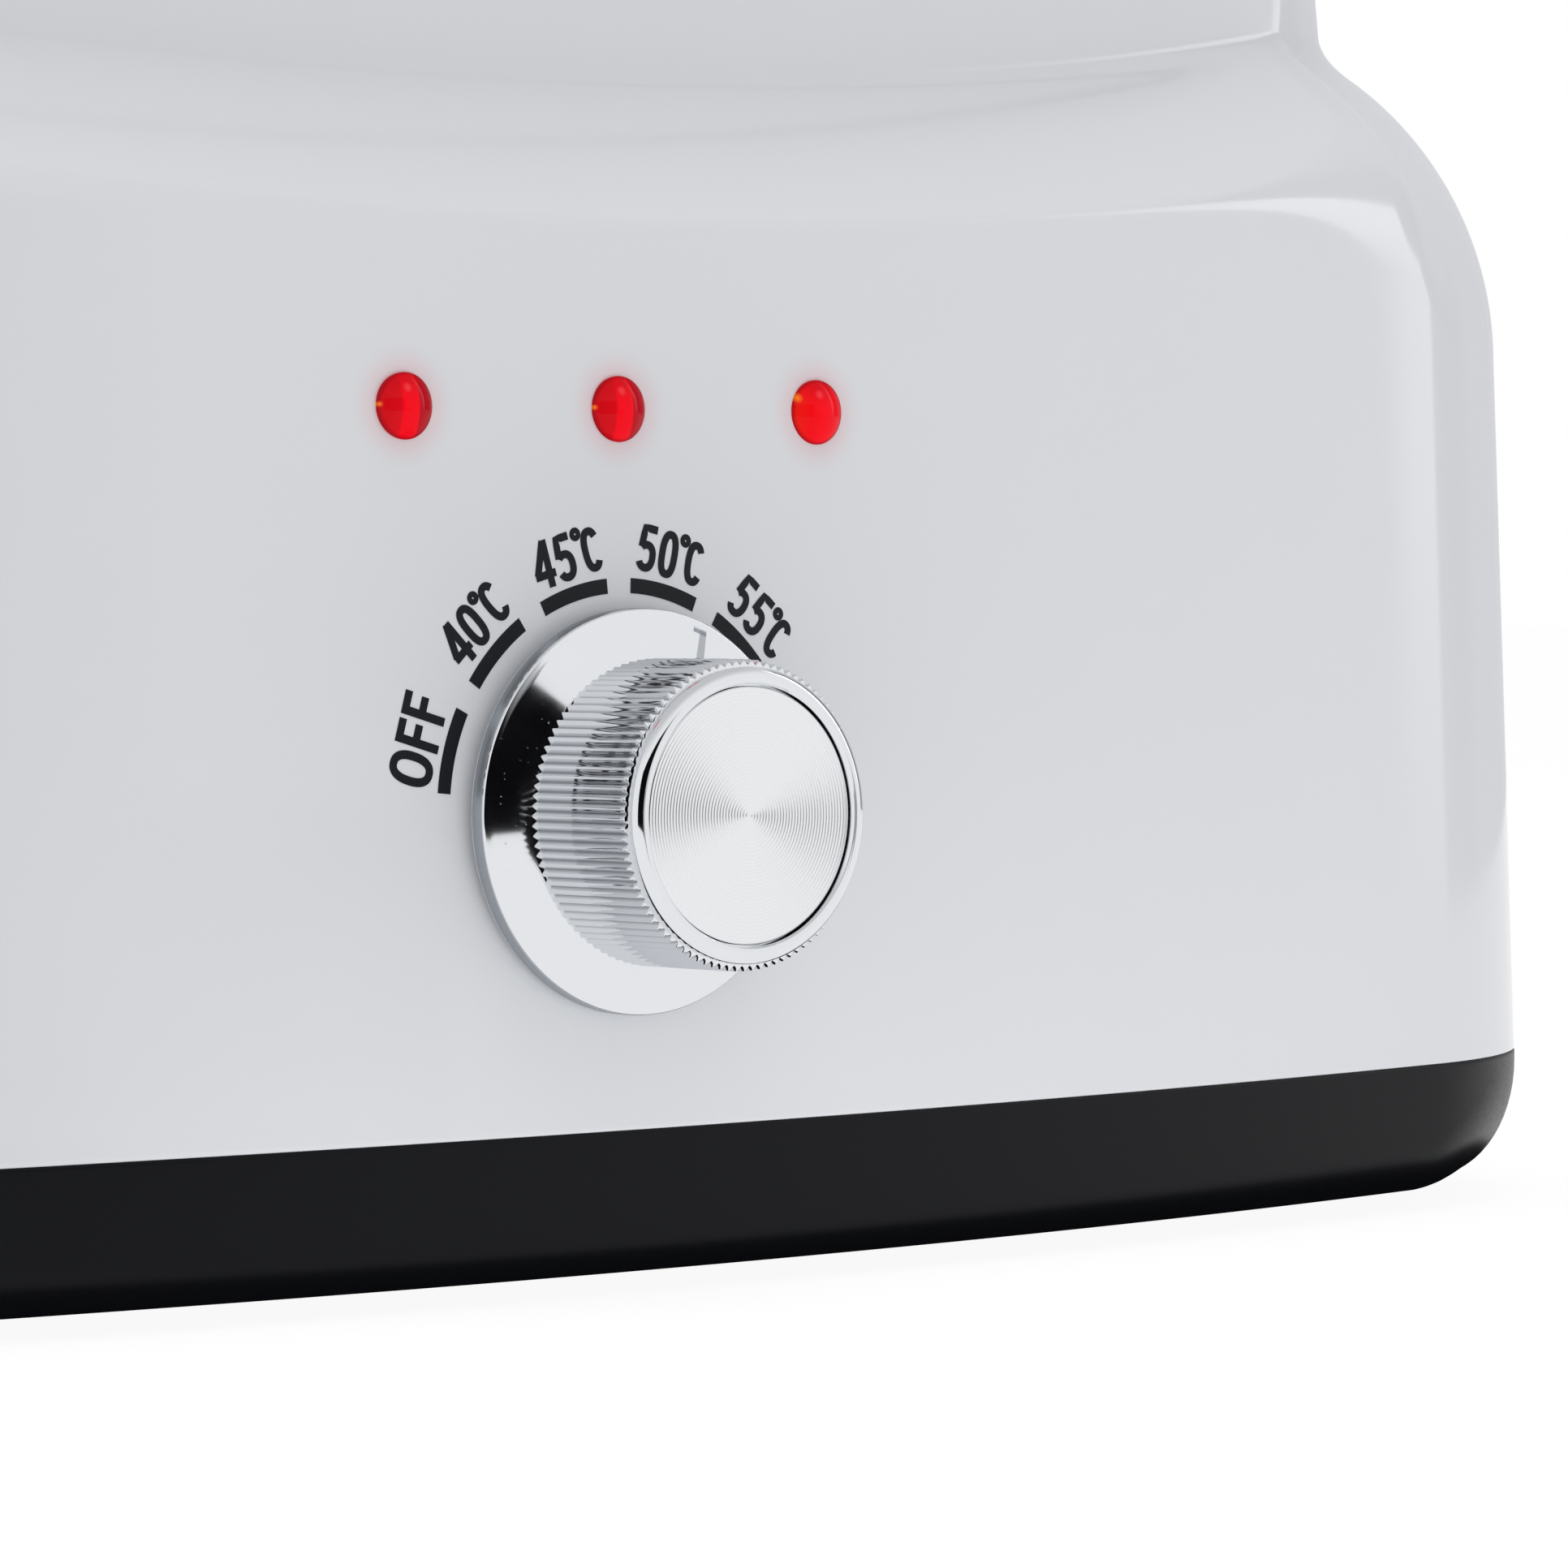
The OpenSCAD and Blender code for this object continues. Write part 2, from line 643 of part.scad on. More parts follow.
module capillary_tube() {
    z_out = z_dial - therm_h / 2;
    y_out = pad_y + therm_l / 2;
    color("#b87333") place() tube([
        [12, y_out, z_out - 0.1], [12, y_out, z_out - 4], [18, y_out + 2, z_out - 9],
        [50, y_out + 8, z_out - 9], [bulb_x - 12, y_out + 14, z_out + 4],
        [bulb_x, y_out + 24, (z_out + z_bulb) / 2], [bulb_x, -bulb_l / 2 - 14, z_bulb - 4],
        [bulb_x, -bulb_l / 2 - 5, z_bulb], [bulb_x, -bulb_l / 2 - 0.1, z_bulb]],
        capillary_r, side = [0.6, -0.6, 0.5]);
}

module thermostat_body() {
    color("#d9d4c4") place() difference() {
        union() {
            translate([-therm_w / 2, pad_y, z_dial - therm_h / 2]) cube([therm_w, therm_l, therm_h]);
            to_front(0, pad_y + 1, z_dial) cylinder(r = bushing_r, h = pad_y + 1 - spot_y + bushing_l);
            for (sx = [-1, 1])
                translate([sx * therm_tab_x - tab_t / 2, therm_y - 1, z_dial - therm_tab_drop - tab_w / 2])
                    cube([tab_t, therm_tab_l + 1, tab_w]);
        }
        to_front(0, pad_y + shaft_back, z_dial) cylinder(r = shaft_r + slip, h = shaft_back + 20);
    }
}

thermostat_nut_h = 2.5;
module thermostat_nut() {
    color("#c9ccd0") place() to_front(0, spot_y, z_dial) hex_nut(14, thermostat_nut_h, bushing_r + slip);
}

// Dial: knob, turned disc, spring clip and shaft turn together
knob_back = panel_y - knob_gap;
hub_r = 5.2;
hub_start = 4.8;
hub_end = 16;
cavity_r = 13;
disc_t = 1;
rim_proud = 0.5;
disc_floor = knob_l - rim_proud - disc_t;
flat_d = 2.2;
shaft_end = 14.5;
slot_w = 1.35;
slot_from = grip_r + 0.9;
slot_to = skirt_r - 1.6;
slot_depth = 0.8;
skirt_bevel = 0.7;
skirt_flat = 0.3;
rim_r = grip_r - knurl_d - 0.2;
rim_l = 1.5;
rim_smooth = 1;
rim_bevel = 0.7;

module thermostat_shaft() {
    color("#c2c5c8") place() difference() {
        to_front(0, pad_y + shaft_back - free_gap, z_dial)
            cylinder(r = shaft_r, h = pad_y + shaft_back - free_gap - knob_back + shaft_end);
        rotate_to_pointer() translate([-shaft_r - 1, knob_back - shaft_end - 1, flat_d])
            cube([2 * shaft_r + 2, shaft_end - hub_start + 1, shaft_r]);
    }
}

// Turns a shape drawn with its pointer upright about the dial axis
module rotate_to_pointer() {
    translate([0, 0, z_dial]) rotate([0, pointer_deg, 0]) children();
}

function knurl_outline() =
    [for (k = [0 : 2 * knurls - 1])
        let (a = 180 * k / knurls, r = k % 2 == 0 ? grip_r : grip_r - knurl_d) [r * cos(a), r * sin(a)]];

module knob_shell() {
    difference() {
        union() {
            rotate_extrude() polygon([[0, 0], [skirt_r, 0], [skirt_r, skirt_t - skirt_bevel],
                [skirt_r - skirt_bevel, skirt_t], [grip_r + skirt_flat, skirt_t + skirt_rise],
                [0, skirt_t + skirt_rise]]);
            translate([0, 0, skirt_t - rim_l]) linear_extrude(knob_l - skirt_t + rim_l - rim_smooth)
                polygon(knurl_outline());
            translate([0, 0, knob_l - rim_l]) rotate_extrude() polygon([[0, 0], [rim_r, 0],
                [rim_r, rim_l - rim_bevel], [rim_r - rim_bevel, rim_l], [0, rim_l]]);
        }
        translate([0, 0, -1]) rotate_extrude() translate([hub_r, 0]) square([cavity_r - hub_r, hub_end]);
        translate([0, 0, -1]) cylinder(r = hub_r + 1, h = hub_start + 1);
        translate([0, 0, disc_floor]) cylinder(r = disc_r + 0.1, h = knob_l);
    }
}

module dial_knob() {
    color("#d5d8dc") place() rotate_to_pointer() difference() {
        to_front(0, knob_back, 0) knob_shell();
        difference() {
            to_front(0, knob_back + 1, 0) cylinder(r = shaft_r + slip, h = shaft_end + 1 + slip);
            translate([-shaft_r - 1, knob_back - shaft_end - 2, flat_d + slip])
                cube([2 * shaft_r + 2, shaft_end + 4, shaft_r]);
        }
        translate([-slot_w / 2, knob_back - skirt_t - skirt_rise - 1, slot_from])
            cube([slot_w, slot_depth + skirt_rise + 1, slot_to - slot_from]);
    }
}

module knob_disc() {
    color("#e3e5e7") place() to_front(0, knob_back - disc_floor, z_dial) cylinder(r = disc_r, h = disc_t);
}

module shaft_clip() {
    clip_from = 7;
    clip_l = 6;
    color("#9a9da1") place() rotate_to_pointer() to_front(0, knob_back - clip_from, 0)
        rotate(110) rotate_extrude(angle = 320) translate([hub_r + slip, 0]) square([0.8, clip_l]);
}

// Indicator lenses: a domed stem through the wall with a collar behind it
collar_r = lens_r + 1.2;
collar_t = 1;
collar_gap = 0.45;
lens_dome_r = (lens_r * lens_r + lens_dome * lens_dome) / (2 * lens_dome);
lens_steps = 8;

module lens(x) {
    proud = 0.2;
    dome_half = asin(lens_r / lens_dome_r);
    dome = [for (k = [0 : lens_steps])
        let (a = dome_half * (1 - k / lens_steps))
        [lens_dome_r * sin(a), proud + lens_dome - lens_dome_r * (1 - cos(a))]];
    back = -wall - collar_gap;
    color("#d3120f") place() to_front(x, front_y(x, z_lamp), z_lamp) rotate_extrude()
        polygon(concat(
            [[0, back - collar_t], [collar_r, back - collar_t], [collar_r, back], [lens_r, back]], dome));
}
module lens_left() {
    lens(-lamp_pitch);
}
module lens_centre() {
    lens(0);
}
module lens_right() {
    lens(lamp_pitch);
}

// Lamps behind the lenses, on a small circuit board screwed to two bosses
led_r = 2.5;
module lamp_leds() {
    color("#e8c9c4") place() for (k = [-1 : 1]) {
        x = k * lamp_pitch;
        tip = front_y(x, z_lamp) + wall + collar_gap + collar_t + free_gap;
        to_front(x, board_y, z_lamp) {
            cylinder(r = led_r, h = board_y - tip - led_r);
            cylinder(r = led_r + 0.4, h = 1);
            translate([0, 0, board_y - tip - led_r]) intersection() {
                sphere(r = led_r);
                cylinder(r = led_r + 1, h = led_r + 1);
            }
        }
    }
}

module indicator_board() {
    color("#2f6b3f") place() difference() {
        translate([-board_w / 2, board_y, z_lamp - board_h / 2]) cube([board_w, board_t, board_h]);
        for (sx = [-1, 1])
            to_front(sx * board_screw_x, board_y + board_t + 1, z_lamp)
                cylinder(r = board_pilot_r + 0.3, h = board_t + 2);
    }
}

board_screw_l = 6;
board_head_r = 2.6;
board_head_h = 1.8;
module board_screws() {
    color("#b9bcc0") place() for (sx = [-1, 1])
        to_front(sx * board_screw_x, board_y + board_t, z_lamp) {
            cylinder(r = board_pilot_r - slip, h = board_t + board_screw_l);
            translate([0, 0, -board_head_h]) cylinder(r = board_head_r, h = board_head_h);
        }
}

// Mains inlet in the back wall: a recessed socket with three blades
recess_w = 24.5;
recess_h = 16.5;
recess_l = 17;
blade_w = 2;
blade_h = 4;
blade_x = 7;
blade_drop = 2;
blade_short = 2;
blade_tail = 8;
blades = [[-blade_x, -blade_drop], [0, blade_drop], [blade_x, -blade_drop]];
inlet_back_y = inlet_face_y - inlet_body_l;

module mains_inlet() {
    color("#1b1c1e") place() difference() {
        union() {
            translate([-inlet_w / 2, inlet_face_y, z_inlet - inlet_flange_h / 2])
                cube([inlet_w, inlet_flange_t, inlet_flange_h]);
            translate([-inlet_body_w / 2, inlet_back_y, z_inlet - inlet_body_h / 2])
                cube([inlet_body_w, inlet_body_l + 1, inlet_body_h]);
        }
        translate([-recess_w / 2, inlet_face_y + inlet_flange_t - recess_l, z_inlet - recess_h / 2])
            cube([recess_w, recess_l + 1, recess_h]);
        for (b = blades)
            translate([b.x - blade_w / 2 - slip, inlet_back_y - 1, z_inlet + b.y - blade_h / 2 - slip])
                cube([blade_w + 2 * slip, inlet_body_l, blade_h + 2 * slip]);
        for (sx = [-1, 1])
            to_front(sx * inlet_screw_x, inlet_face_y + inlet_flange_t + 1, z_inlet)
                cylinder(r = inlet_pilot_r + 0.4, h = inlet_flange_t + 2);
    }
}

module inlet_pins() {
    blade_l = inlet_face_y + inlet_flange_t - blade_short - inlet_back_y + blade_tail;
    color("#c9a94e") place() for (b = blades)
        translate([b.x - blade_w / 2, inlet_back_y - blade_tail, z_inlet + b.y - blade_h / 2])
            cube([blade_w, blade_l, blade_h]);
}

inlet_head_r = 2.6;
inlet_screw_l = 6;
cross_l = 3.2;
cross_w = 0.7;
cross_depth = 0.9;
module inlet_screws() {
    color("#b9bcc0") place() for (sx = [-1, 1])
        to_front(sx * inlet_screw_x, back_reach, z_inlet) difference() {
            union() {
                cylinder(r = inlet_head_r, h = inlet_head_h);
                cylinder(r = inlet_pilot_r - slip, h = inlet_head_h + inlet_flange_t + inlet_screw_l);
            }
            for (turn = [0, 90])
                rotate(turn) translate([-cross_l / 2, -cross_w / 2, -1])
                    cube([cross_l, cross_w, cross_depth + 1]);
        }
}

// Terminal block on two bosses of the base floor
block_w = 52;
block_l = 20;
block_h = 16;
block_ear = 10;
block_ear_t = 3;
block_ways = [-21.5, -8, 8, 21.5];
z_block = z_floor + block_boss_h;
z_entry = z_block + 6;
entry_r = 1.6;
terminal_r = 2.2;
terminal_h = 3.4;
terminal_well = 5;
terminal_slot_w = 0.8;
terminal_slot_h = 1;

module terminal_block() {
    color("#e9e6dc") place() difference() {
        union() {
            translate([-block_w / 2, block_y - block_l / 2, z_block]) cube([block_w, block_l, block_h]);
            translate([-block_w / 2 - block_ear, block_y - block_l / 4, z_block])
                cube([block_w + 2 * block_ear, block_l / 2, block_ear_t]);
        }
        for (x = block_ways)
            translate([x, block_y, z_block + block_h - terminal_well])
                cylinder(r = terminal_r + 0.1, h = terminal_well + 1);
        for (sx = [-1, 1])
            translate([sx * block_boss_x, block_y, z_block - 1])
                cylinder(r = block_pilot_r + 0.3, h = block_ear_t + 2);
    }
}

module terminal_screws() {
    color("#c9a94e") place() for (x = block_ways)
        translate([x, block_y, z_block + block_h - terminal_well + 0.1]) difference() {
            cylinder(r = terminal_r, h = terminal_h);
            translate([-terminal_r - 1, -terminal_slot_w / 2, terminal_h - terminal_slot_h])
                cube([2 * terminal_r + 2, terminal_slot_w, terminal_slot_h + 1]);
        }
}

block_screw_l = 4;
block_head_r = 2.4;
block_head_h = 1.8;
module block_screws() {
    color("#b9bcc0") place() for (sx = [-1, 1])
        translate([sx * block_boss_x, block_y, z_block + block_ear_t]) {
            translate([0, 0, -block_ear_t - block_screw_l])
                cylinder(r = block_pilot_r - slip, h = block_ear_t + block_screw_l);
            cylinder(r = block_head_r, h = block_head_h);
        }
}

// Inside wiring: each lead stays in its own upright plane
lead_r = 1.2;
lead_gap = 0.1;
lead_stub = 6;
block_front = block_y - block_l / 2 - lead_gap;
block_back = block_y + block_l / 2 + lead_gap;

module mains_leads() {
    tail_y = inlet_back_y - blade_tail - lead_gap;
    color("#7a3b2e") place() for (b = blades)
        tube([[b.x, tail_y, z_inlet + b.y], [b.x, tail_y - lead_stub, z_inlet + b.y],
            [b.x, tail_y - 1.7 * lead_stub, z_inlet - 1.3 * lead_stub],
            [b.x, block_back + 2 * lead_stub, z_entry + lead_stub / 2],
            [b.x, block_back + lead_stub, z_entry], [b.x, block_back, z_entry]], lead_r);
}

module heater_leads() {
    tab_y = heater_d / 2 - tab_t / 2;
    z_tab = z_tank - tab_drop - lead_gap;
    color("#d7d3c8") place() for (sx = [-1, 1])
        translate([sx * heater_tab_x, 0, 0])
            tube([[0, block_back, z_entry], [0, block_back + 0.8 * lead_stub, z_entry],
                [0, block_back + 1.7 * lead_stub, z_entry + 1.7 * lead_stub],
                [0, tab_y + lead_stub / 2, z_tab - 2.7 * lead_stub],
                [0, tab_y, z_tab - lead_stub], [0, tab_y, z_tab]], lead_r);
}

module thermostat_leads() {
    tab_y = therm_y + therm_tab_l + lead_gap;
    z_tab = z_dial - therm_tab_drop;
    color("#2b4f8c") place() for (sx = [-1, 1])
        translate([sx * therm_tab_x, 0, 0])
            tube([[0, tab_y, z_tab], [0, tab_y + lead_stub, z_tab],
                [0, tab_y + 3 * lead_stub, z_tab - 2 * lead_stub], [0, -5 * lead_stub, z_floor + lead_stub],
                [0, 0, z_floor + lead_stub], [0, block_front - 1.3 * lead_stub, z_entry],
                [0, block_front, z_entry]], lead_r);
}

module lamp_leads() {
    start_y = board_y + board_t + lead_gap;
    color("#b03030") place() for (x = [block_ways[0], block_ways[3]])
        tube([[x, start_y, z_lamp - lead_stub / 2], [x, start_y + 0.7 * lead_stub, z_lamp - 0.7 * lead_stub],
            [x, start_y + 1.2 * lead_stub, z_lamp - 2.4 * lead_stub], [x, start_y + 1.2 * lead_stub, z_dial],
            [x, start_y + 2.7 * lead_stub, z_floor + 1.7 * lead_stub],
            [x, -5 * lead_stub, z_floor + lead_stub],
            [x, 0, z_floor + lead_stub], [x, block_front - 1.3 * lead_stub, z_entry],
            [x, block_front, z_entry]], lead_r);
}

// Lid: rests on the tank flange, with a skirt outside the neck
lid_gap = 0.8;
lid_seat_gap = 0.3;
lid_in = rim_in - lid_gap - lid_wall;
lid_low = z_flange - lid_skirt_h;
lid_ledge = 5;
z_seat = z_flange + lid_seat_gap;
z_deck = z_seat + lid_edge_r;
z_lid_top = z_deck + lid_panel_h;
lid_steps = 6;
panel_margin = 9;
panel_slope = 4;
panel_corner_r = 22;
deck_in = lid_in + lid_edge_r + panel_margin;
lid_inner_in = rim_in + lid_ledge;
lid_inner_turn = acos((lid_in + lid_edge_r - lid_inner_in) / (lid_edge_r - lid_wall));

function panel_ring(inset, z) =
    level(outline(half_w - deck_in, half_d - deck_in, panel_corner_r, bow_r - deck_in, inset), z);
function lid_arc(r, a) = body_ring(lid_in + lid_edge_r - r * cos(a), z_seat + r * sin(a));
function lid_outside() = concat(
    [body_ring(lid_in, lid_low)],
    [for (k = [0 : lid_steps]) lid_arc(lid_edge_r, 90 * k / lid_steps)],
    [panel_ring(0, z_deck), panel_ring(panel_slope, z_lid_top)]);
function lid_inside() = concat(
    [panel_ring(panel_slope + lid_wall, z_lid_top - lid_wall), panel_ring(lid_wall, z_deck - lid_wall)],
    [for (k = [0 : 2]) lid_arc(lid_edge_r - lid_wall, 90 + (lid_inner_turn - 90) * k / 2)],
    [body_ring(lid_inner_in, z_seat), body_ring(lid_in + lid_wall, z_seat),
        body_ring(lid_in + lid_wall, lid_low)]);

handle_post = 14;
handle_screw_x = handle_l / 2 - handle_post / 2;
handle_pilot_r = 1.75;
handle_curve = handle_h - handle_t;
handle_screw_l = 10;
handle_head_h = 2;

module lid() {
    color("#f1f2f4") place() difference() {
        ring_solid(concat(lid_inside(), lid_outside()));
        for (sx = [-1, 1])
            translate([sx * handle_screw_x, 0, z_deck - lid_wall - 2])
                cylinder(r = handle_pilot_r + 0.35, h = lid_panel_h + lid_wall + 4);
    }
}

// Arched handle: a rounded bar on two posts
module handle_side(l, h, r) {
    square([l - 2 * r, h], center = false);
    translate([-r, 0]) square([l, h - r]);
    for (x = [0, l - 2 * r])
        translate([x, h - r]) circle(r = r);
}

module lid_handle() {
    outer_r = handle_h / 2 - 0.5;
    inner_r = min(9, handle_curve / 2);
    gap_l = handle_l - 2 * handle_post;
    color("#161719") place() translate([0, handle_w / 2, z_lid_top]) difference() {
        rotate([90, 0, 0]) linear_extrude(handle_w) difference() {
            translate([outer_r - handle_l / 2, 0]) handle_side(handle_l, handle_h, outer_r);
            translate([inner_r - gap_l / 2, -1]) handle_side(gap_l, handle_curve + 1, inner_r);
        }
        for (sx = [-1, 1])
            translate([sx * handle_screw_x, -handle_w / 2, -1])
                cylinder(r = handle_pilot_r, h = handle_screw_l + 3);
    }
}

module handle_screws() {
    color("#b9bcc0") place() for (sx = [-1, 1])
        translate([sx * handle_screw_x, 0, z_lid_top - lid_wall]) {
            cylinder(r = handle_pilot_r - slip, h = lid_wall + handle_screw_l);
            translate([0, 0, -handle_head_h]) cylinder(r = head_r, h = handle_head_h);
        }
}

// Grille on short legs, standing on the tank floor
grille_gap = 3;
grille_rim = 6;
grille_leg_r = 4;
grille_in = sheet_t + grille_gap + 1;
z_grille = z_tank_in + grille_leg_h + slip;
grille_w = tank_w - grille_in;
grille_d = tank_d - grille_in;
bars_x = floor((grille_w - grille_rim) / grille_pitch);
bars_y = floor((grille_d - grille_rim) / grille_pitch);

module grille_plan(inset) {
    polygon(outline(tank_w, tank_d, tank_corner_r, tank_bow_r, grille_in + inset));
}

module tank_grille() {
    leg_x = (bars_x - 1) * grille_pitch;
    leg_y = (bars_y - 1) * grille_pitch;
    color("#e8e9ea") place() {
        translate([0, 0, z_grille]) linear_extrude(grille_t) {
            difference() {
                grille_plan(0);
                grille_plan(grille_rim);
            }
            intersection() {
                grille_plan(grille_rim / 2);
                union() {
                    for (k = [-bars_x : bars_x])
                        translate([k * grille_pitch - grille_bar / 2, -tank_d])
                            square([grille_bar, 2 * tank_d]);
                    for (k = [-bars_y : bars_y])
                        translate([-tank_w, k * grille_pitch - grille_bar / 2])
                            square([2 * tank_w, grille_bar]);
                }
            }
        }
        for (sx = [-1, 1], sy = [-1, 1])
            translate([sx * leg_x, sy * leg_y, z_tank_in + slip])
                cylinder(r = grille_leg_r, h = grille_leg_h + 1);
    }
}

housing();
base_pan();
rubber_feet();
base_screws();
wax_tank();
rim_gasket();
insulation_sleeve();
heating_element();
heater_clamp_plate();
clamp_nuts();
thermal_cutout();
cutout_screws();
sensing_bulb();
bulb_clips();
capillary_tube();
thermostat_body();
thermostat_nut();
thermostat_shaft();
dial_knob();
knob_disc();
shaft_clip();
lens_left();
lens_centre();
lens_right();
lamp_leds();
indicator_board();
board_screws();
mains_inlet();
inlet_pins();
inlet_screws();
terminal_block();
terminal_screws();
block_screws();
mains_leads();
heater_leads();
thermostat_leads();
lamp_leads();
lid();
lid_handle();
handle_screws();
tank_grille();
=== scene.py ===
"""Finished surfaces of a paraffin wax bath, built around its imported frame."""

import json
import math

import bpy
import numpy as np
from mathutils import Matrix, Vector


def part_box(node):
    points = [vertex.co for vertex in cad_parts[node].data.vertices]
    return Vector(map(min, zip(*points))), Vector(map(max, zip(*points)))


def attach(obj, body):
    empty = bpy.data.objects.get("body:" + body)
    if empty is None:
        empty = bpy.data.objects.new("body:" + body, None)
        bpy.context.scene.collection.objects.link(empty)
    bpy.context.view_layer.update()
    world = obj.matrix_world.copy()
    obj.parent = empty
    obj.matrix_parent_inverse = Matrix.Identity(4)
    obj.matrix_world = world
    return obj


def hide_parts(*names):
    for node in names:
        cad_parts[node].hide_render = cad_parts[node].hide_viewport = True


bl_info = {
    "name": "Paraffin wax bath",
    "version": (1, 0, 0),
    "blender": (4, 5, 0),
    "location": "3D View > Sidebar > Wax bath",
    "description": "Builds the finished surfaces of a paraffin wax bath around its packed frame",
    "category": "Object",
}

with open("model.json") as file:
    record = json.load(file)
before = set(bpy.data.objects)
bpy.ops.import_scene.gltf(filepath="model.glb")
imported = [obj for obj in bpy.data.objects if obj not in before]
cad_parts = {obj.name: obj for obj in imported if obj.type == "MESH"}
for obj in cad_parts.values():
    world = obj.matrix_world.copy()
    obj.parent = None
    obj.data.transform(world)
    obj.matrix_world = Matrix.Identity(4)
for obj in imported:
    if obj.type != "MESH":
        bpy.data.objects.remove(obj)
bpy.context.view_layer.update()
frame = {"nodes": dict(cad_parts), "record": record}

NODES = frame["nodes"]
SLOT_OF = {row["node"]: row["material_slot"] for row in frame["record"]["subparts"]}
HOUSING_LOW, HOUSING_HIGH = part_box("housing")
BASE_LOW, BASE_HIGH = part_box("base_pan")
LID_LOW, LID_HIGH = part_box("lid")
HANDLE_LOW, HANDLE_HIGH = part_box("lid_handle")
KNOB_LOW, KNOB_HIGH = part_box("dial_knob")
INLET_LOW, INLET_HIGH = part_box("mains_inlet")
FEET_LOW, FEET_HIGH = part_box("rubber_feet")
TANK_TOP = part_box("wax_tank")[1].z
DISC_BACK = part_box("knob_disc")[1].y
LENSES = ("lens_left", "lens_centre", "lens_right")


def mm(value):
    """Millimetres to metres."""
    return value * 0.001


def linear(colour):
    """An sRGB hex colour as linear red, green and blue."""
    code = colour.lstrip("#")
    parts = [int(code[k:k + 2], 16) / 255 for k in (0, 2, 4)]
    return tuple(c / 12.92 if c <= 0.04045 else ((c + 0.055) / 1.055) ** 2.4 for c in parts)


def length(name, description, default):
    """A size in metres that shows in the scene's units."""
    return bpy.props.FloatProperty(name=name, description=description, default=default, min=0.0,
                                   precision=5, unit="LENGTH")


def angle(name, description, degrees):
    """An angle that shows in degrees."""
    return bpy.props.FloatProperty(name=name, description=description, default=math.radians(degrees),
                                   subtype="ANGLE")


def colour(name, description, code):
    """A colour picker that starts from an sRGB hex value."""
    return bpy.props.FloatVectorProperty(name=name, description=description, default=linear(code), size=3,
                                         min=0.0, max=1.0, subtype="COLOR")


def fraction(name, description, default, least=0.0):
    """A share of up to 1."""
    return bpy.props.FloatProperty(name=name, description=description, default=default, min=least, max=1.0)


class WaxBathShell(bpy.types.PropertyGroup):
    """Sizes of the housing, its shoulder and the base."""
    depth: length("Depth", "Depth of the housing at the seam", mm(226))
    corner: length("Corner radius", "Radius of the plan corners", mm(50))
    bow: length("Front bow", "Radius of the bowed front and back", mm(650))
    draft: angle("Draft", "Lean of the wall", 1.6)
    shoulder: length("Shoulder width", "Width of the shoulder seen from above", mm(20))
    side_height: length("Side shoulder height", "Height at which the side round starts", mm(95.5))
    side_round: length("Side shoulder radius", "Radius of the side shoulder", mm(40))
    round_from: angle("Round begins", "Turn of the wall at which the side round fades in", 6)
    round_to: angle("Round is full", "Turn of the wall from which the side round is full", 20)
    front_height: length("Front shoulder height", "Height at which the front slope starts", mm(105.9))
    front_slope: angle("Front slope", "Slope of the front shoulder", 39)
    blend: length("Shoulder blend", "Width over which slope and round melt together", mm(7))
    foot_run: length("Neck foot run", "Width of the hollow foot of the neck at the sides", mm(3.8))
    foot_rise: length("Neck foot rise", "Height of that foot over the shoulder at the sides", mm(2.7))
    front_foot: fraction("Front neck foot", "Size of the foot at the front, as a share of that at the sides",
                         0.5, 0.05)
    foot_bend: fraction("Neck foot bend", "How hollow that foot is: 0 straight, 1 tangent at both ends", 0.85)
    rim_inset: length("Rim inset", "Inset of the neck's rim from the seam outline", mm(23.4))
    wall: length("Wall", "Wall thickness of the housing", mm(2.6))
    ledge: length("Ledge", "Width of the ledge that carries the tank", mm(8))
    base_edge: length("Base edge", "Height of the rounded lower edge at the sides", mm(13))
    base_tuck: length("Base tuck", "How far the sides of the base draw in towards the floor", mm(8.9))
    front_edge: length("Front base edge", "Height of the rounded lower edge at the front", mm(4))
    front_tuck: length("Front base tuck", "How far the front of the base draws in", mm(2.6))
    tuck_from: angle("Tuck begins", "Turn of the wall at which the base starts to draw in more", 0)
    tuck_to: angle("Tuck is full", "Turn of the wall from which the base draws in fully", 36)
    floor: length("Base floor", "Thickness of the base floor", mm(3))


class WaxBathDial(bpy.types.PropertyGroup):
    """Sizes of the dial."""
    skirt: length("Skirt radius", "Radius of the knob's skirt", mm(20))
    skirt_edge: length("Skirt edge", "Height of the skirt's upright edge", mm(2.1))
    skirt_rise: length("Skirt rise", "Rise of the skirt's cone towards the grip", mm(1.45))
    grip: length("Grip radius", "Radius over the knurl's tips", mm(15.1))
    knurl: length("Knurl depth", "Depth of the knurl's grooves", mm(0.5))
    knurls: bpy.props.IntProperty(name="Knurls", description="Grooves round the grip", default=96, min=12)
    disc: length("Disc radius", "Radius of the turned disc", mm(12.5))
    ring: length("Ring pitch", "Spacing of the turned rings", mm(0.36))
    ring_depth: length("Ring depth", "Depth of the turned rings", mm(0.028))
    pointer: angle("Pointer", "Angle of the pointer from upright, clockwise", 21)


class WaxBathScale(bpy.types.PropertyGroup):
    """Sizes of the printed scale round the dial."""
    bar_inside: length("Bar inside", "Inner radius of the scale bars", mm(21.5))
    bar_outside: length("Bar outside", "Outer radius of the scale bars", mm(23.0))
    bar_sweep: angle("Bar sweep", "Angle that one scale bar covers", 21.5)
    letter_foot: length("Letter foot", "Radius at which the lettering stands", mm(23.6))
    letter: length("Letter height", "Height of the lettering", mm(4.75))
    stroke: length("Stroke", "Stroke width of the lettering", mm(0.80))
    proud: length("Ink height", "Height of the ink over the wall", mm(0.04))


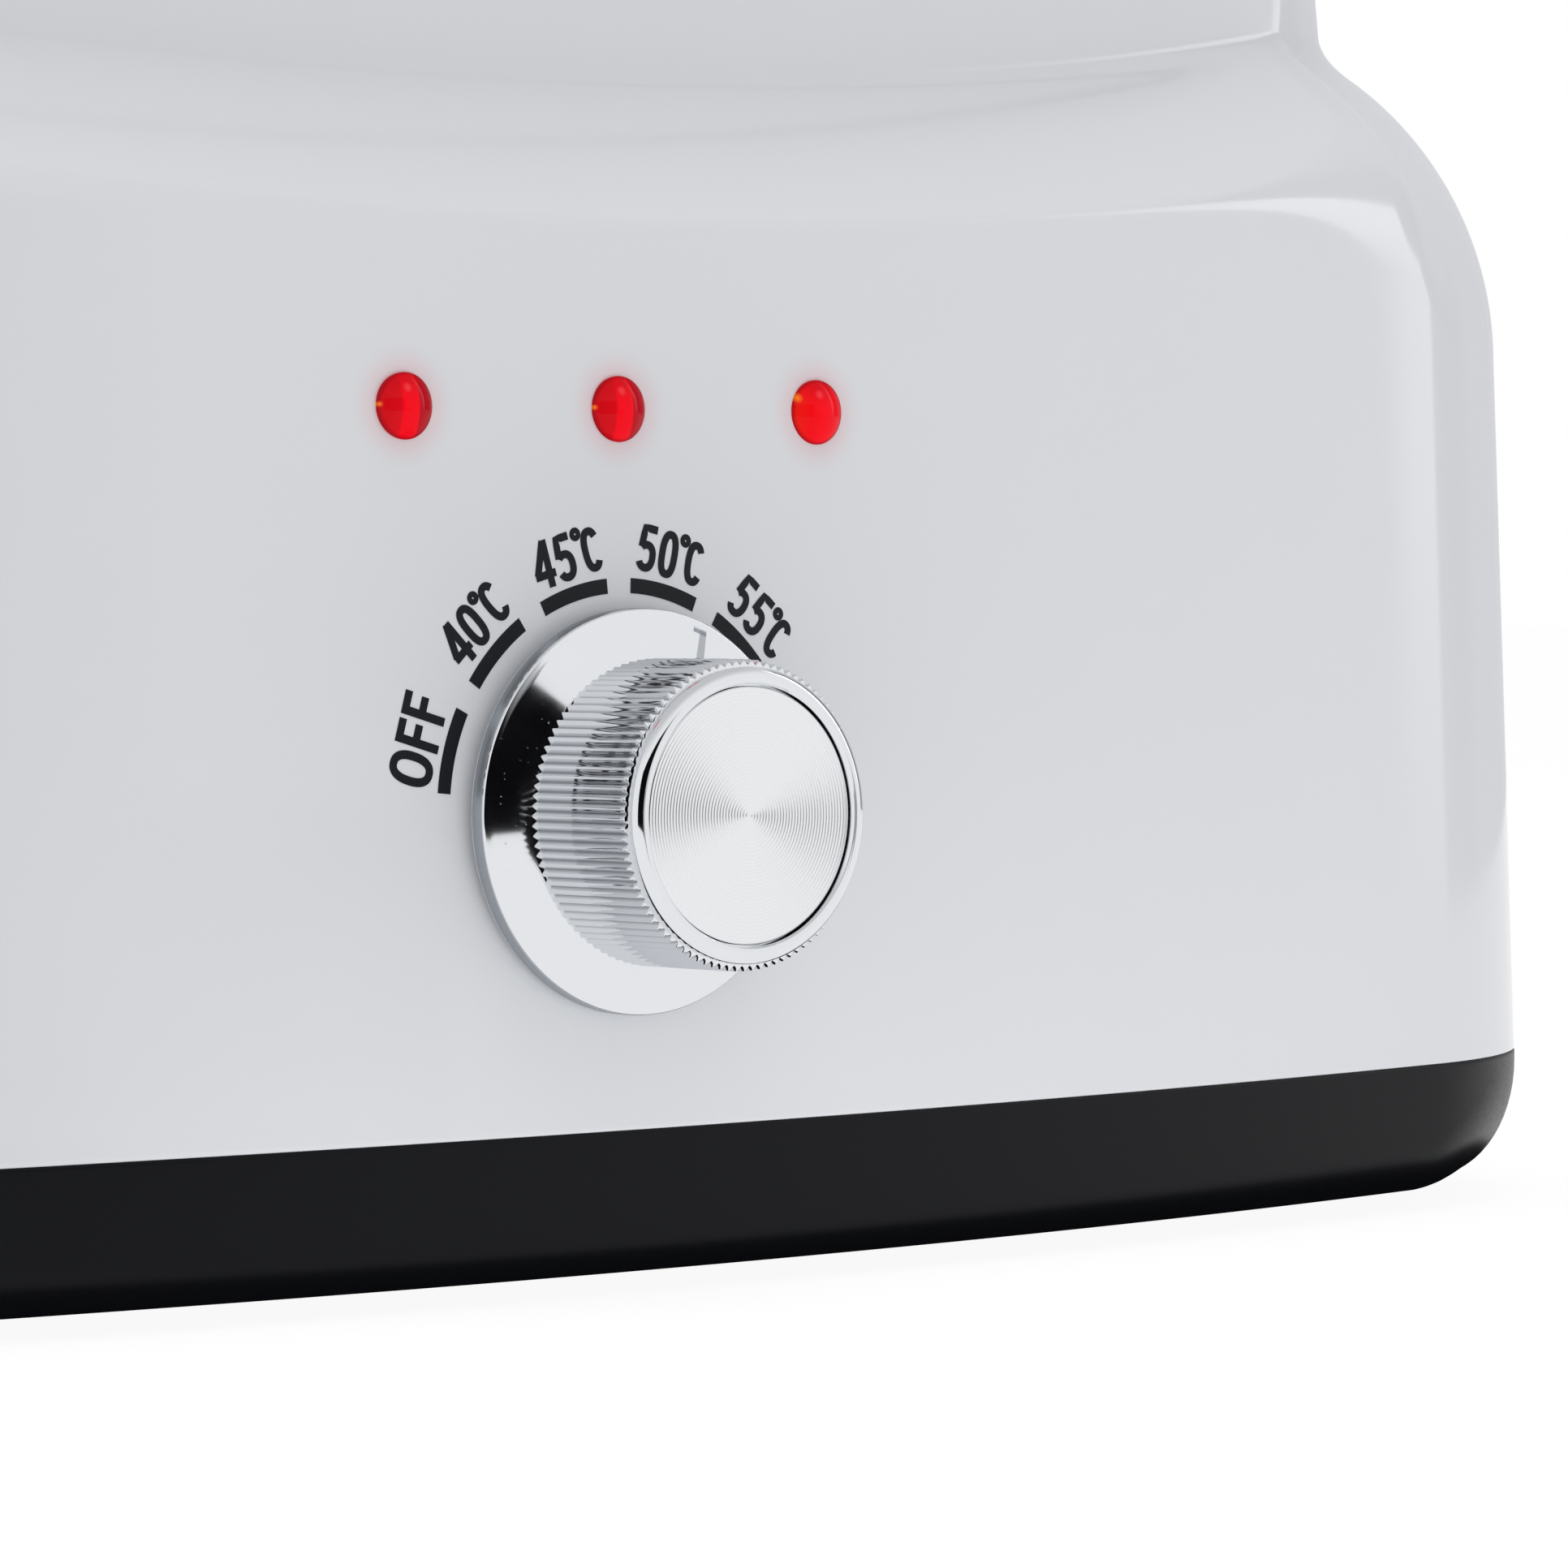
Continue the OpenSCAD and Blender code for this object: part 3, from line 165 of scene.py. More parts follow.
class WaxBathColours(bpy.types.PropertyGroup):
    """Colours that a user may change."""
    white: colour("White plastic", "Housing and lid", "#E4E6EA")
    black: colour("Black plastic", "Base, handle and inlet", "#0B0C10")
    ink: colour("Ink", "Printed scale", "#191B20")
    red: colour("Red lens", "Bright part of the lit lenses", "#F0101C")
    chrome: colour("Chrome", "Plated knob", "#E3E5E8")
    disc: colour("Turned disc", "Aluminium disc of the knob", "#EDEEF0")
    floor: colour("Floor", "Floor of the stage", "#F7F7F8")


class WaxBathStage(bpy.types.PropertyGroup):
    """Camera and light."""
    eye: bpy.props.FloatVectorProperty(name="Camera place", description="Where the camera stands", size=3,
                                       default=(-0.4200, -0.6381, 0.0697), subtype="TRANSLATION",
                                       unit="LENGTH")
    yaw: angle("Camera yaw", "Turn of the view from the back direction towards the right", 39.55)
    pitch: angle("Camera pitch", "Tilt of the view below level", 1.62)
    roll: angle("Camera roll", "Turn of the picture about the view", -0.30)
    lens: bpy.props.FloatProperty(name="Lens", description="Focal length in millimetres on a 36 mm sensor",
                                  default=158.2, min=1.0)
    ambient: bpy.props.FloatProperty(name="Ambient", description="Strength of the even surrounding light",
                                     default=0.59, min=0.0)


class WaxBathSettings(bpy.types.PropertyGroup):
    """All settings of the wax bath."""
    shell: bpy.props.PointerProperty(type=WaxBathShell)
    dial: bpy.props.PointerProperty(type=WaxBathDial)
    scale: bpy.props.PointerProperty(type=WaxBathScale)
    colours: bpy.props.PointerProperty(type=WaxBathColours)
    stage: bpy.props.PointerProperty(type=WaxBathStage)


def settings():
    """The settings of the current scene."""
    return bpy.context.scene.wax_bath


BOW_STEPS, CORNER_STEPS, SIDE_STEPS = 72, 36, 24


def plan(half_w, half_d, corner, bow):
    """Rounded rectangle with bowed front and back, anticlockwise from the left end of the front.

    Every point is an arc centre plus a radius along an outward normal, so an even inset only
    shortens the radius. The second half is the first one turned by half a turn."""
    cx = half_w - corner
    sweep = math.asin(cx / (bow - corner))
    cy = half_d - bow + (bow - corner) * math.cos(sweep)
    quarter = math.pi / 2
    side_y = np.linspace(-cy, cy, SIDE_STEPS, endpoint=False)
    turn = np.concatenate([
        np.linspace(-sweep, sweep, BOW_STEPS, endpoint=False),
        np.linspace(sweep, quarter, CORNER_STEPS, endpoint=False),
        np.full(SIDE_STEPS, quarter),
        np.linspace(quarter, math.pi - sweep, CORNER_STEPS, endpoint=False)])
    counts = (BOW_STEPS, CORNER_STEPS, SIDE_STEPS, CORNER_STEPS)
    x = np.repeat([0.0, cx, cx, cx], counts)
    y = np.concatenate([np.full(BOW_STEPS, bow - half_d), np.full(CORNER_STEPS, -cy), side_y,
                        np.full(CORNER_STEPS, cy)])
    radius = np.repeat([bow, corner, corner, corner], counts)
    centres = np.stack([x, y], axis=-1)
    turns = np.concatenate([turn, turn + math.pi])
    normals = np.stack([np.sin(turns), -np.cos(turns)], axis=-1)
    return np.concatenate([centres, -centres]), np.concatenate([radius, radius]), normals


def rings(outline, shift, *blocks):
    """Rows of plan points, from blocks of (inset, height) rows that hold one number or one per point."""
    centres, radius, normals = outline

    def wide(side):
        return np.broadcast_to(np.reshape(side, (len(side), -1)), (len(side), len(radius)))

    inset, height = (np.concatenate([wide(side) for side in sides]) for sides in zip(*blocks))
    flat = centres + (radius - inset)[..., None] * normals + np.array([0.0, shift])
    return np.concatenate([flat, height[..., None]], axis=-1)


def turned(profile, columns, centre, amplitude=None):
    """A lathe shape about the dial axis: rows of (radius, height towards the front), columns round it.

    The point at angle t is centre + radius (cos t, 0, sin t) minus height along Y. The amplitude
    rows, where given, are added to the radius column by column."""
    profile = np.asarray(profile, float)
    t = np.linspace(0, 2 * math.pi, columns, endpoint=False)
    radius = np.repeat(profile[:, :1], columns, axis=1)
    if amplitude is not None:
        radius = radius + amplitude
    height = np.repeat(profile[:, 1:2], columns, axis=1)
    points = np.stack([radius * np.cos(t), -height, radius * np.sin(t)], axis=-1)
    return points + np.asarray(centre)


def stood(profile, columns, centre):
    """A lathe shape about an upright axis: rows of (radius, height), columns round it."""
    profile = np.asarray(profile, float)
    t = np.linspace(0, 2 * math.pi, columns, endpoint=False)
    radius, height = profile[:, :1], np.repeat(profile[:, 1:2], columns, axis=1)
    return np.stack([radius * np.cos(t), radius * np.sin(t), height], axis=-1) + np.asarray(centre)


def arc(centre, radius, start, end, steps):
    """Points on an arc: centre + radius (cos a, sin a), from one angle in degrees to another."""
    a = np.radians(np.linspace(start, end, steps))
    return np.stack([centre[0] + radius * np.cos(a), centre[1] + radius * np.sin(a)], axis=-1)


def shell(points, loop=False, start=False, end=False, wrap=True):
    """Quads between neighbouring rows and columns of a grid, with flat caps on its end rows where asked.

    With columns anticlockwise and rows going outwards along the axis, faces point outwards."""
    rows, columns = points.shape[:2]
    r = np.arange(rows if loop else rows - 1)[:, None]
    c = np.arange(columns if wrap else columns - 1)[None, :]
    low, high, step = r * columns, ((r + 1) % rows) * columns, (c + 1) % columns
    quads = np.stack([low + c, low + step, high + step, high + c], axis=-1).reshape(-1, 4)
    caps = []
    if start:
        caps.append(np.arange(columns)[None, ::-1])
    if end:
        caps.append((rows - 1) * columns + np.arange(columns)[None, :])
    return points.reshape(-1, 3), [quads] + caps


def solid(points):
    """A closed shell from a grid that wraps round, capped at both ends."""
    return shell(points, start=True, end=True)


def peg(radius, low, high, columns, x, y):
    """A closed upright cylinder."""
    return solid(stood([(radius, low), (radius, high)], columns, (x, y, 0)))


def superellipse(t, power):
    """Cosine and sine of t, each raised to a power with its sign kept."""
    return (np.sign(wave) * np.abs(wave) ** power for wave in (np.cos(t), np.sin(t)))


def ease(share):
    """A smooth step from 0 to 1."""
    return share * share * (3 - 2 * share)


def fill_mesh(mesh, shells, uv=None):
    """Writes shells into a mesh through whole arrays; uv holds one pair per point."""
    offsets = np.cumsum([0] + [len(points) for points, _ in shells])
    points = np.concatenate([points for points, _ in shells])
    faces = [block + first for (_, blocks), first in zip(shells, offsets) for block in blocks]
    corners = np.concatenate([block.ravel() for block in faces]).astype(np.int32)
    sizes = np.concatenate([np.full(len(block), block.shape[1]) for block in faces])
    starts = np.concatenate([[0], np.cumsum(sizes)[:-1]]).astype(np.int32)
    mesh.vertices.add(len(points))
    mesh.vertices.foreach_set("co", points.astype(np.float32).ravel())
    mesh.loops.add(len(corners))
    mesh.loops.foreach_set("vertex_index", corners)
    mesh.polygons.add(len(sizes))
    mesh.polygons.foreach_set("loop_start", starts)
    mesh.update(calc_edges=True)
    if uv is not None:
        layer = mesh.uv_layers.new(name="surface")
        layer.uv.foreach_set("vector", np.asarray(uv, np.float32)[corners].ravel())
    mesh.polygons.foreach_set("use_smooth", np.ones(len(sizes), bool))
    mesh.validate()


def put(name, data):
    """A new object in the scene."""
    obj = bpy.data.objects.new(name, data)
    bpy.context.scene.collection.objects.link(obj)
    return obj


def cut(obj, cutters):
    """Cuts closed shells out of a piece and keeps the result as its mesh."""
    mesh = bpy.data.meshes.new("cutter")
    fill_mesh(mesh, cutters)
    cutter = put("cutter", mesh)
    boolean = obj.modifiers.new("Cut", "BOOLEAN")
    boolean.object = cutter
    boolean.operation = "DIFFERENCE"
    boolean.solver = "EXACT"
    bpy.context.view_layer.update()
    result = bpy.data.meshes.new_from_object(obj.evaluated_get(bpy.context.evaluated_depsgraph_get()))
    obj.modifiers.clear()
    old = obj.data
    name = old.name
    obj.data = result
    bpy.data.meshes.remove(old)
    result.name = name
    bpy.data.objects.remove(cutter)
    bpy.data.meshes.remove(mesh)
    if not len(result.polygons):
        raise RuntimeError(f"cutting left nothing of {obj.name}")


def piece(name, shells, finish, body, nodes=(), uv=None, cutters=None, crease=40):
    """Makes one piece of the part: mesh, finish, body to ride on and the nodes it stands for."""
    mesh = bpy.data.meshes.new(name)
    fill_mesh(mesh, shells, uv)
    obj = put(name, mesh)
    if cutters:
        cut(obj, cutters)
    obj.data.materials.clear()
    obj.data.materials.append(FINISHES[finish])
    obj.data.set_sharp_from_angle(angle=math.radians(crease))
    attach(obj, body)
    if nodes:
        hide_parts(*nodes)
    return obj


def box_shell(low, high):
    """A closed box as two square rings with caps."""
    (x0, y0, z0), (x1, y1, z1) = low, high
    ring = np.array([[x0, y0], [x1, y0], [x1, y1], [x0, y1]])
    points = np.stack([np.column_stack([ring, np.full(4, z)]) for z in (z0, z1)])
    return solid(points)


def rounded(half_x, half_z, radius, steps=8):
    """A rounded rectangle, anticlockwise: four corner arcs joined by straight sides."""
    corners = [(1, 1, 0), (-1, 1, 90), (-1, -1, 180), (1, -1, 270)]
    return np.concatenate([arc((sx * (half_x - radius), sz * (half_z - radius)), radius, a, a + 90, steps)
                           for sx, sz, a in corners])


def feed(tree, node, values):
    """Sets a node's sockets, each from a constant or by a link."""
    for name, value in dict(values).items():
        if isinstance(value, bpy.types.NodeSocket):
            tree.links.new(value, node.inputs[name])
        else:
            node.inputs[name].default_value = value


def add(tree, kind, values=(), **options):
    """Adds one shader node: options are its settings, values its sockets."""
    node = tree.nodes.new(kind)
    for name, value in options.items():
        setattr(node, name, value)
    feed(tree, node, values)
    return node


def span(tree, value, low, high, start, end, curve="LINEAR"):
    """A value that runs from start to end as another one goes from low to high, and stays there beyond."""
    return add(tree, "ShaderNodeMapRange", {"Value": value, "From Min": low, "From Max": high,
                                            "To Min": start, "To Max": end},
               interpolation_type=curve).outputs[0]


def blend(tree, share, first, second):
    """A colour between two others."""
    return add(tree, "ShaderNodeMix", {0: share, 6: first, 7: second}, data_type="RGBA").outputs[2]


def cloud(tree, place, scale, detail):
    """The level of a noise."""
    return add(tree, "ShaderNodeTexNoise", {"Vector": place, "Scale": scale, "Detail": detail}).outputs["Fac"]


def near_spot(tree, place, spot, near, far, share):
    """A share that fades smoothly to nothing between two distances from a spot."""
    away = add(tree, "ShaderNodeVectorMath", {0: place, 1: spot}, operation="DISTANCE").outputs["Value"]
    return span(tree, away, near, far, share, 0.0, "SMOOTHSTEP")


def most(tree, *values):
    """The greatest of several values."""
    best = values[0]
    for value in values[1:]:
        best = add(tree, "ShaderNodeMath", {0: best, 1: value}, operation="MAXIMUM").outputs[0]
    return best


def own_map(tree):
    """The piece's own map, whole and as its axes."""
    own = add(tree, "ShaderNodeUVMap", uv_map="surface").outputs[0]
    return own, add(tree, "ShaderNodeSeparateXYZ", {"Vector": own}).outputs


def tint(value, factor=1.0):
    """A linear colour made lighter or darker, with full alpha."""
    return (*(min(1.0, c * factor) for c in value), 1.0)


def node_material(name):
    """An empty node material and its tree."""
    material = bpy.data.materials.new(name)
    material.use_nodes = True
    material.node_tree.nodes.clear()
    return material, material.node_tree


def start_material(name):
    """A node material with its shader and Object coordinates."""
    material, tree = node_material(name)
    bsdf = add(tree, "ShaderNodeBsdfPrincipled")
    add(tree, "ShaderNodeOutputMaterial", {"Surface": bsdf.outputs[0]})
    return material, tree, bsdf, add(tree, "ShaderNodeTexCoord").outputs["Object"]


def colour_ramp(tree, value, stops):
    """A colour that runs through stops of (place, sRGB hex) as the value goes from 0 to 1."""
    ramp = add(tree, "ShaderNodeValToRGB", {"Fac": value})
    elements = ramp.color_ramp.elements
    for k, (at, code) in enumerate(stops):
        stop = elements[k] if k < 2 else elements.new(at)
        stop.position, stop.color = at, tint(linear(code))
    return ramp.outputs[0]


# Painted pink glow round a lit lens, standing in for its light through the white plastic: full up to near,
# gone at far, and its share of the colour.
PAINTED_GLOW_NEAR, PAINTED_GLOW_FAR, PAINTED_GLOW_SHARE = mm(3.0), mm(6.5), 0.24


def surface(name, base, spread, rough, rough_spread, grain, depth, metallic=0.0, detail=3.0,
            stretch=(1, 1, 1), gloss=0.5, painted_glow_spots=()):
    """A moulded, cast, drawn or woven surface from one noise of the grain's real size.

    The noise moves the colour between base times (1 - spread) and (1 + spread), moves the roughness by
    rough_spread either way, and lifts the surface by depth. Gloss is the strength of the mirror part.
    Round each spot in painted_glow_spots, over a lens's lamp, the colour has a painted soft pink glow."""
    material, tree, bsdf, place = start_material(name)
    mapped = add(tree, "ShaderNodeMapping", {"Vector": place, "Scale": stretch}).outputs[0]
    level = cloud(tree, mapped, 1 / grain, detail)
    shade = blend(tree, level, tint(base, 1 - spread), tint(base, 1 + spread))
    # Painted glow: the colour turns pink near each lens, as if its light came through the plastic.
    for spot in painted_glow_spots:
        bloom = near_spot(tree, place, spot, PAINTED_GLOW_NEAR, PAINTED_GLOW_FAR, PAINTED_GLOW_SHARE)
        shade = blend(tree, bloom, shade, tint(linear("#F08C96")))
    bump = add(tree, "ShaderNodeBump", {"Height": level, "Distance": depth, "Strength": 1.0})
    feed(tree, bsdf, {"Base Color": shade, "Normal": bump.outputs[0], "Metallic": metallic,
                      "Roughness": span(tree, level, 0.25, 0.75, rough - rough_spread, rough + rough_spread),
                      "Specular IOR Level": gloss})
    return material


def lit_lens(name, red, bands, painted_glint, painted_glint_size):
    """Moulded acrylic lens over a lit lamp: soft bands where the light guide shines and ends, with painted
    shade as a dark rim where the dome turns away and a darker upper edge, a painted orange glint and a
    painted highlight as a pale spot near the top.

    All of it follows the lens's own map, in which the rim is a circle of radius 0.5 about (0.5, 0.5)."""
    material, tree, bsdf, _ = start_material(name)
    own, axes = own_map(tree)
    glow = colour_ramp(tree, axes["X"], bands)
    # Painted shade and light in the glow: dark rim, dark upper edge, pale highlight and glint, each with
    # place, reach from near to far, share and colour.
    for spot, near, far, share, code in (((0.5, 0.5, 0), 0.50, 0.43, 0.75, "#6E0410"),
                                         ((0.5, 1.06, 0), 0.10, 0.52, 0.55, "#A00612"),
                                         ((0.46, 0.77, 0), 0.0, 0.10, 0.45, "#FF5A64"),
                                         ((*painted_glint, 0), 0.0, painted_glint_size, 0.8, "#FF8A1E")):
        glow = blend(tree, near_spot(tree, own, spot, near, far, share), glow, tint(linear(code)))
    bump = add(tree, "ShaderNodeBump", {"Height": cloud(tree, own, 6.0, 2.0), "Distance": mm(0.02),
                                        "Strength": 0.4})
    feed(tree, bsdf, {"Base Color": blend(tree, 0.3, tint(linear("#3A0206")), tint(red, 0.6)),
                      "Emission Color": glow, "Normal": bump.outputs[0], "Emission Strength": 0.85,
                      "Roughness": 0.06, "IOR": 1.49, "Specular IOR Level": 0.06})
    return material


def chrome_plate(name, base, grooves=False):
    """Chrome plate on moulded plastic: a near mirror with faint handling haze and dust specks.

    With grooves, the plate darkens where the piece's own map says how deep a groove is: painted shade
    in the knurl's grooves."""
    material, tree, bsdf, place = start_material(name)
    haze = cloud(tree, place, 1 / mm(6), 4.0)
    speck = span(tree, cloud(tree, place, 1 / mm(0.35), 1.0), 0.74, 0.80, 0.0, 0.25)
    level = span(tree, haze, 0.3, 0.7, 0.035, 0.075)
    rough = add(tree, "ShaderNodeMath", {0: level, 1: speck}, operation="ADD")
    shade = blend(tree, haze, tint(base, 0.97), tint(base))
    if grooves:
        # Painted shade: the plate goes darker with the depth of the groove.
        deep = span(tree, own_map(tree)[1]["X"], 0.55, 1.0, 0.0, 0.5)
        shade = blend(tree, deep, shade, tint(base, 0.05))
    feed(tree, bsdf, {"Base Color": shade, "Roughness": rough.outputs[0], "Metallic": 1.0})
    return material


def turned_metal(base):
    """Turned aluminium: fine tool rings, so the light spreads into an hourglass across the disc."""
    material, tree, bsdf, _ = start_material("turned aluminium")
    level = add(tree, "ShaderNodeTexNoise", {"W": own_map(tree)[1]["X"], "Scale": 220.0, "Detail": 2.0},
                noise_dimensions="1D").outputs["Fac"]
    feed(tree, bsdf, {"Base Color": blend(tree, level, tint(base, 0.90), tint(base)), "Metallic": 1.0,
                      "Roughness": span(tree, level, 0.3, 0.7, 0.13, 0.24)})
    return material


FINISHES = {}
METAL = {"metallic": 1.0}

# Finishes with one grain: name, colour, colour spread, roughness, roughness spread, grain and depth in
# millimetres, and other settings.
GRAINED = {
    # Moulded rubber: dull black with a dusty bloom.
    "rubber": ("moulded rubber", "#202123", 0.15, 0.72, 0.08, 0.8, 0.02, {}),
    # Zinc-plated steel: bluish bright metal with a fine crystalline cloud.
    "zinc_steel": ("zinc plated steel", "#C3C7CC", 0.08, 0.30, 0.08, 0.6, 0.004, METAL),
    # Deep-drawn aluminium: satin, with faint upright drawing lines.
    "tank_aluminium": ("drawn aluminium", "#CBCDCF", 0.06, 0.34, 0.07, 0.9, 0.004,
                       {**METAL, "stretch": (1, 1, 0.08)}),
    # Moulded silicone: matt translucent grey.
    "silicone": ("moulded silicone", "#8F9296", 0.06, 0.55, 0.06, 1.5, 0.01, {}),
    # Ceramic fibre board: chalky, matted fibres.
    "ceramic_fibre": ("ceramic fibre felt", "#DCD5C2", 0.10, 0.90, 0.05, 2, 0.15, {"stretch": (1, 1, 4)}),
    # Mica sheet: brown layered flakes with a pearly gloss.
    "mica": ("pressed mica", "#77543A", 0.25, 0.38, 0.12, 5, 0.02, {}),
    # Cold-rolled sheet steel: grey with fine rolling lines along the sheet.
    "sheet_steel": ("rolled sheet steel", "#AEB2B5", 0.08, 0.36, 0.08, 0.6, 0.004,
                    {**METAL, "stretch": (0.05, 1, 1)}),
    # Turned brass: warm yellow with fine tool marks.
    "brass": ("turned brass", "#C9A95A", 0.10, 0.30, 0.08, 0.5, 0.004, METAL),
    # Pressed phenolic: deep black-brown with a hard sheen.
    "black_phenolic": ("pressed phenolic", "#2A2928", 0.12, 0.40, 0.06, 0.8, 0.006, {}),
    # Drawn copper: salmon metal, a little tarnished.
    "copper": ("drawn copper", "#B9744F", 0.14, 0.34, 0.10, 3, 0.003, METAL),
    # Moulded thermosetting resin: buff, dull, with filler specks.
    "thermostat_resin": ("moulded buff resin", "#D9D3C2", 0.08, 0.52, 0.06, 0.7, 0.01, {}),
    # Cast epoxy: milky pink and glossy.
    "led_epoxy": ("cast clear epoxy", "#E6C6C1", 0.05, 0.14, 0.03, 1, 0.002, {}),
    # Epoxy glass board: green solder mask over a woven cloth.
    "circuit_board": ("solder mask on glass board", "#2D6B40", 0.12, 0.34, 0.06, 0.5, 0.006, {}),
    # Moulded nylon: cream and waxy.
    "nylon": ("moulded nylon", "#E7E3D6", 0.05, 0.44, 0.05, 1.2, 0.006, {}),
    # Extruded lead insulation: even colour with a dull slip.
    "lead_brown": ("brown PVC insulation", "#7A3F2F", 0.08, 0.48, 0.06, 1.5, 0.006, {}),
    "lead_white": ("white silicone insulation", "#D8D4CA", 0.06, 0.55, 0.06, 1.5, 0.006, {}),
    "lead_blue": ("blue PVC insulation", "#2B508C", 0.08, 0.48, 0.06, 1.5, 0.006, {}),
    "lead_red": ("red PVC insulation", "#B03234", 0.08, 0.48, 0.06, 1.5, 0.006, {}),
    # Chrome over a sand-blasted mould wall: a satin grey band that mirrors nothing sharply.
    "satin": ("satin chrome plate", "#B2B7BC", 0.04, 0.42, 0.04, 0.4, 0.002, METAL),
    # Spring steel strip: dark blued metal.
    "spring_steel": ("blued spring steel", "#8B9097", 0.12, 0.32, 0.08, 0.8, 0.003, METAL),
    # Moulded nylon grille: milky white with a waxy, slightly uneven gloss.
    "grille_nylon": ("moulded white nylon", "#E3E3DF", 0.03, 0.42, 0.06, 1.4, 0.01, {}),
}

# Bands across a lit lens, as places and colours: lit through the middle, and seen along its light guide.
BANDED = [(0.0, "#C8141A"), (0.10, "#BE0A14"), (0.33, "#CC0C18"), (0.37, "#F2061A"), (0.64, "#EE051A"),
          (0.68, "#A8061A"), (0.92, "#920618"), (1.0, "#B81826")]
FULL = [(0.0, "#E02010"), (0.30, "#EE0A14"), (0.55, "#F60A1C"), (0.80, "#E40A1A"), (1.0, "#D01626")]


def make_finishes():
    """One material for each slot of the record, each with the grain of the real thing."""
    tone = settings().colours
    for slot, (name, code, spread, rough, rough_spread, grain, depth, other) in GRAINED.items():
        FINISHES[slot] = surface(name, linear(code), spread, rough, rough_spread, mm(grain), mm(depth),
                                 **other)
    # Centres of the lenses, round which the white gets its painted pink glow.
    painted_glow_spots = [tuple((low + high) / 2) for low, high in map(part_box, LENSES)]
    FINISHES.update({
        # Gloss moulded ABS: an almost even cool white with a faint orange peel, and a painted pink glow round
        # the lenses.
        "white_abs": surface("moulded white ABS", tone.white, 0.006, 0.075, 0.015, mm(9), mm(0.001),
                             detail=2.0, gloss=0.28, painted_glow_spots=painted_glow_spots),
        # Moulded black ABS with a fine spark texture: satin, a little lighter where it turns to the light.
        "black_abs": surface("moulded black ABS", tone.black, 0.10, 0.34, 0.05, mm(0.5), mm(0.004),
                             gloss=0.12),
        # Screen-printed ink: an even satin black film with a faint mesh mottle.
        "ink": surface("screen-printed black ink", tone.ink, 0.08, 0.42, 0.06, mm(0.4), mm(0.001),
                       gloss=0.15),
        "red_lens": lit_lens("moulded red acrylic, lit", tone.red, BANDED, (0.02, 0.52), 0.055),
        "red_lens_full": lit_lens("moulded red acrylic, fully lit", tone.red, FULL, (0.09, 0.72), 0.10),
        "chrome_abs": chrome_plate("chrome plated ABS", tone.chrome),
        # Knurled chrome with painted shade in its grooves.
        "knurl_chrome": chrome_plate("chrome plated knurl", tone.chrome, grooves=True),
        "turned_aluminium": turned_metal(tone.disc),
    })


def soft_min(a, b, width):
    """The lesser of two heights, rounded over the given width where they are close."""
    near = np.maximum(width - np.abs(a - b), 0) / width
    return np.minimum(a, b) - near * near * width / 4


class Body:
    """Places of the housing that several pieces share."""

    def __init__(self):
        s = settings().shell
        self.half_w = (HOUSING_HIGH.x - HOUSING_LOW.x) / 2
        self.half_d = s.depth / 2
        self.shift = HOUSING_LOW.y + self.half_d
        self.seam, self.rim = HOUSING_LOW.z, HOUSING_HIGH.z
        self.lean = math.tan(s.draft)
        self.wall_top = self.lean * (s.side_height - self.seam)
        self.front_top = self.lean * (s.front_height - self.seam)
        self.plan = plan(self.half_w, self.half_d, s.corner, s.bow)
        self.bow = s.bow

    def front(self, x, z):
        """The y of the bowed front wall at x and z: the bow's circle, drawn in by the draft."""
        radius = self.bow - self.lean * (z - self.seam)
        return self.shift - self.half_d + self.bow - np.sqrt(radius * radius - x * x)

    def sideways(self, start, end):
        """Share of the side's form in each plan point: a smooth step over the wall's turn from the front."""
        normals = np.abs(self.plan[2])
        turn = np.arctan2(normals[:, 0], normals[:, 1])
        share = np.clip((turn - start) / (end - start), 0, 1)
        return ease(share)

    def shoulder(self, s):
        """Inset and height of shoulder rows: a round that starts upright, cut by the sloped front and back.

        The round starts low at the sides and, by a smooth step over the turn of the wall, at the slope's
        own foot along the front and back."""
        sizes = settings().shell
        s = np.asarray(s, float)
        s = s[:, None] if s.ndim == 1 else s
        centres, radius, normals = self.plan
        lift = sizes.front_height - sizes.side_height
        lift = lift * (1 - self.sideways(sizes.round_from, sizes.round_to))
        inset = self.wall_top + self.lean * lift + s
        y = centres[:, 1] + (radius - inset) * normals[:, 1]
        r = sizes.side_round
        side = sizes.side_height + lift + np.sqrt(r * r - (r - s) ** 2)
        slope = sizes.front_height + math.tan(sizes.front_slope) * (self.half_d - np.abs(y) - self.front_top)
        return inset, soft_min(side, slope, sizes.blend)


def edge(inset, height, radius, start, end, steps=5):
    """Rows round a small moulded edge: an arc in the plane of inset (inwards) and height."""
    a = np.radians(np.linspace(start, end, steps))
    return inset + radius * np.cos(a), height + radius * np.sin(a)


# Radius of the small moulded edges at the seam, and the run beside them that keeps their shading tight.
SEAM_EDGE, SEAM_HOLD = mm(0.25), mm(0.3)
# Rows up the housing, and columns round the knob, each knurl, the disc and a lens.
WALL_ROWS, SHOULDER_ROWS, FOOT_ROWS, NECK_ROWS, UNDER_ROWS = 20, 44, 12, 8, 9
KNOB_COLUMNS, TOOTH_COLUMNS, DISC_COLUMNS, LENS_COLUMNS = 256, 10, 160, 64


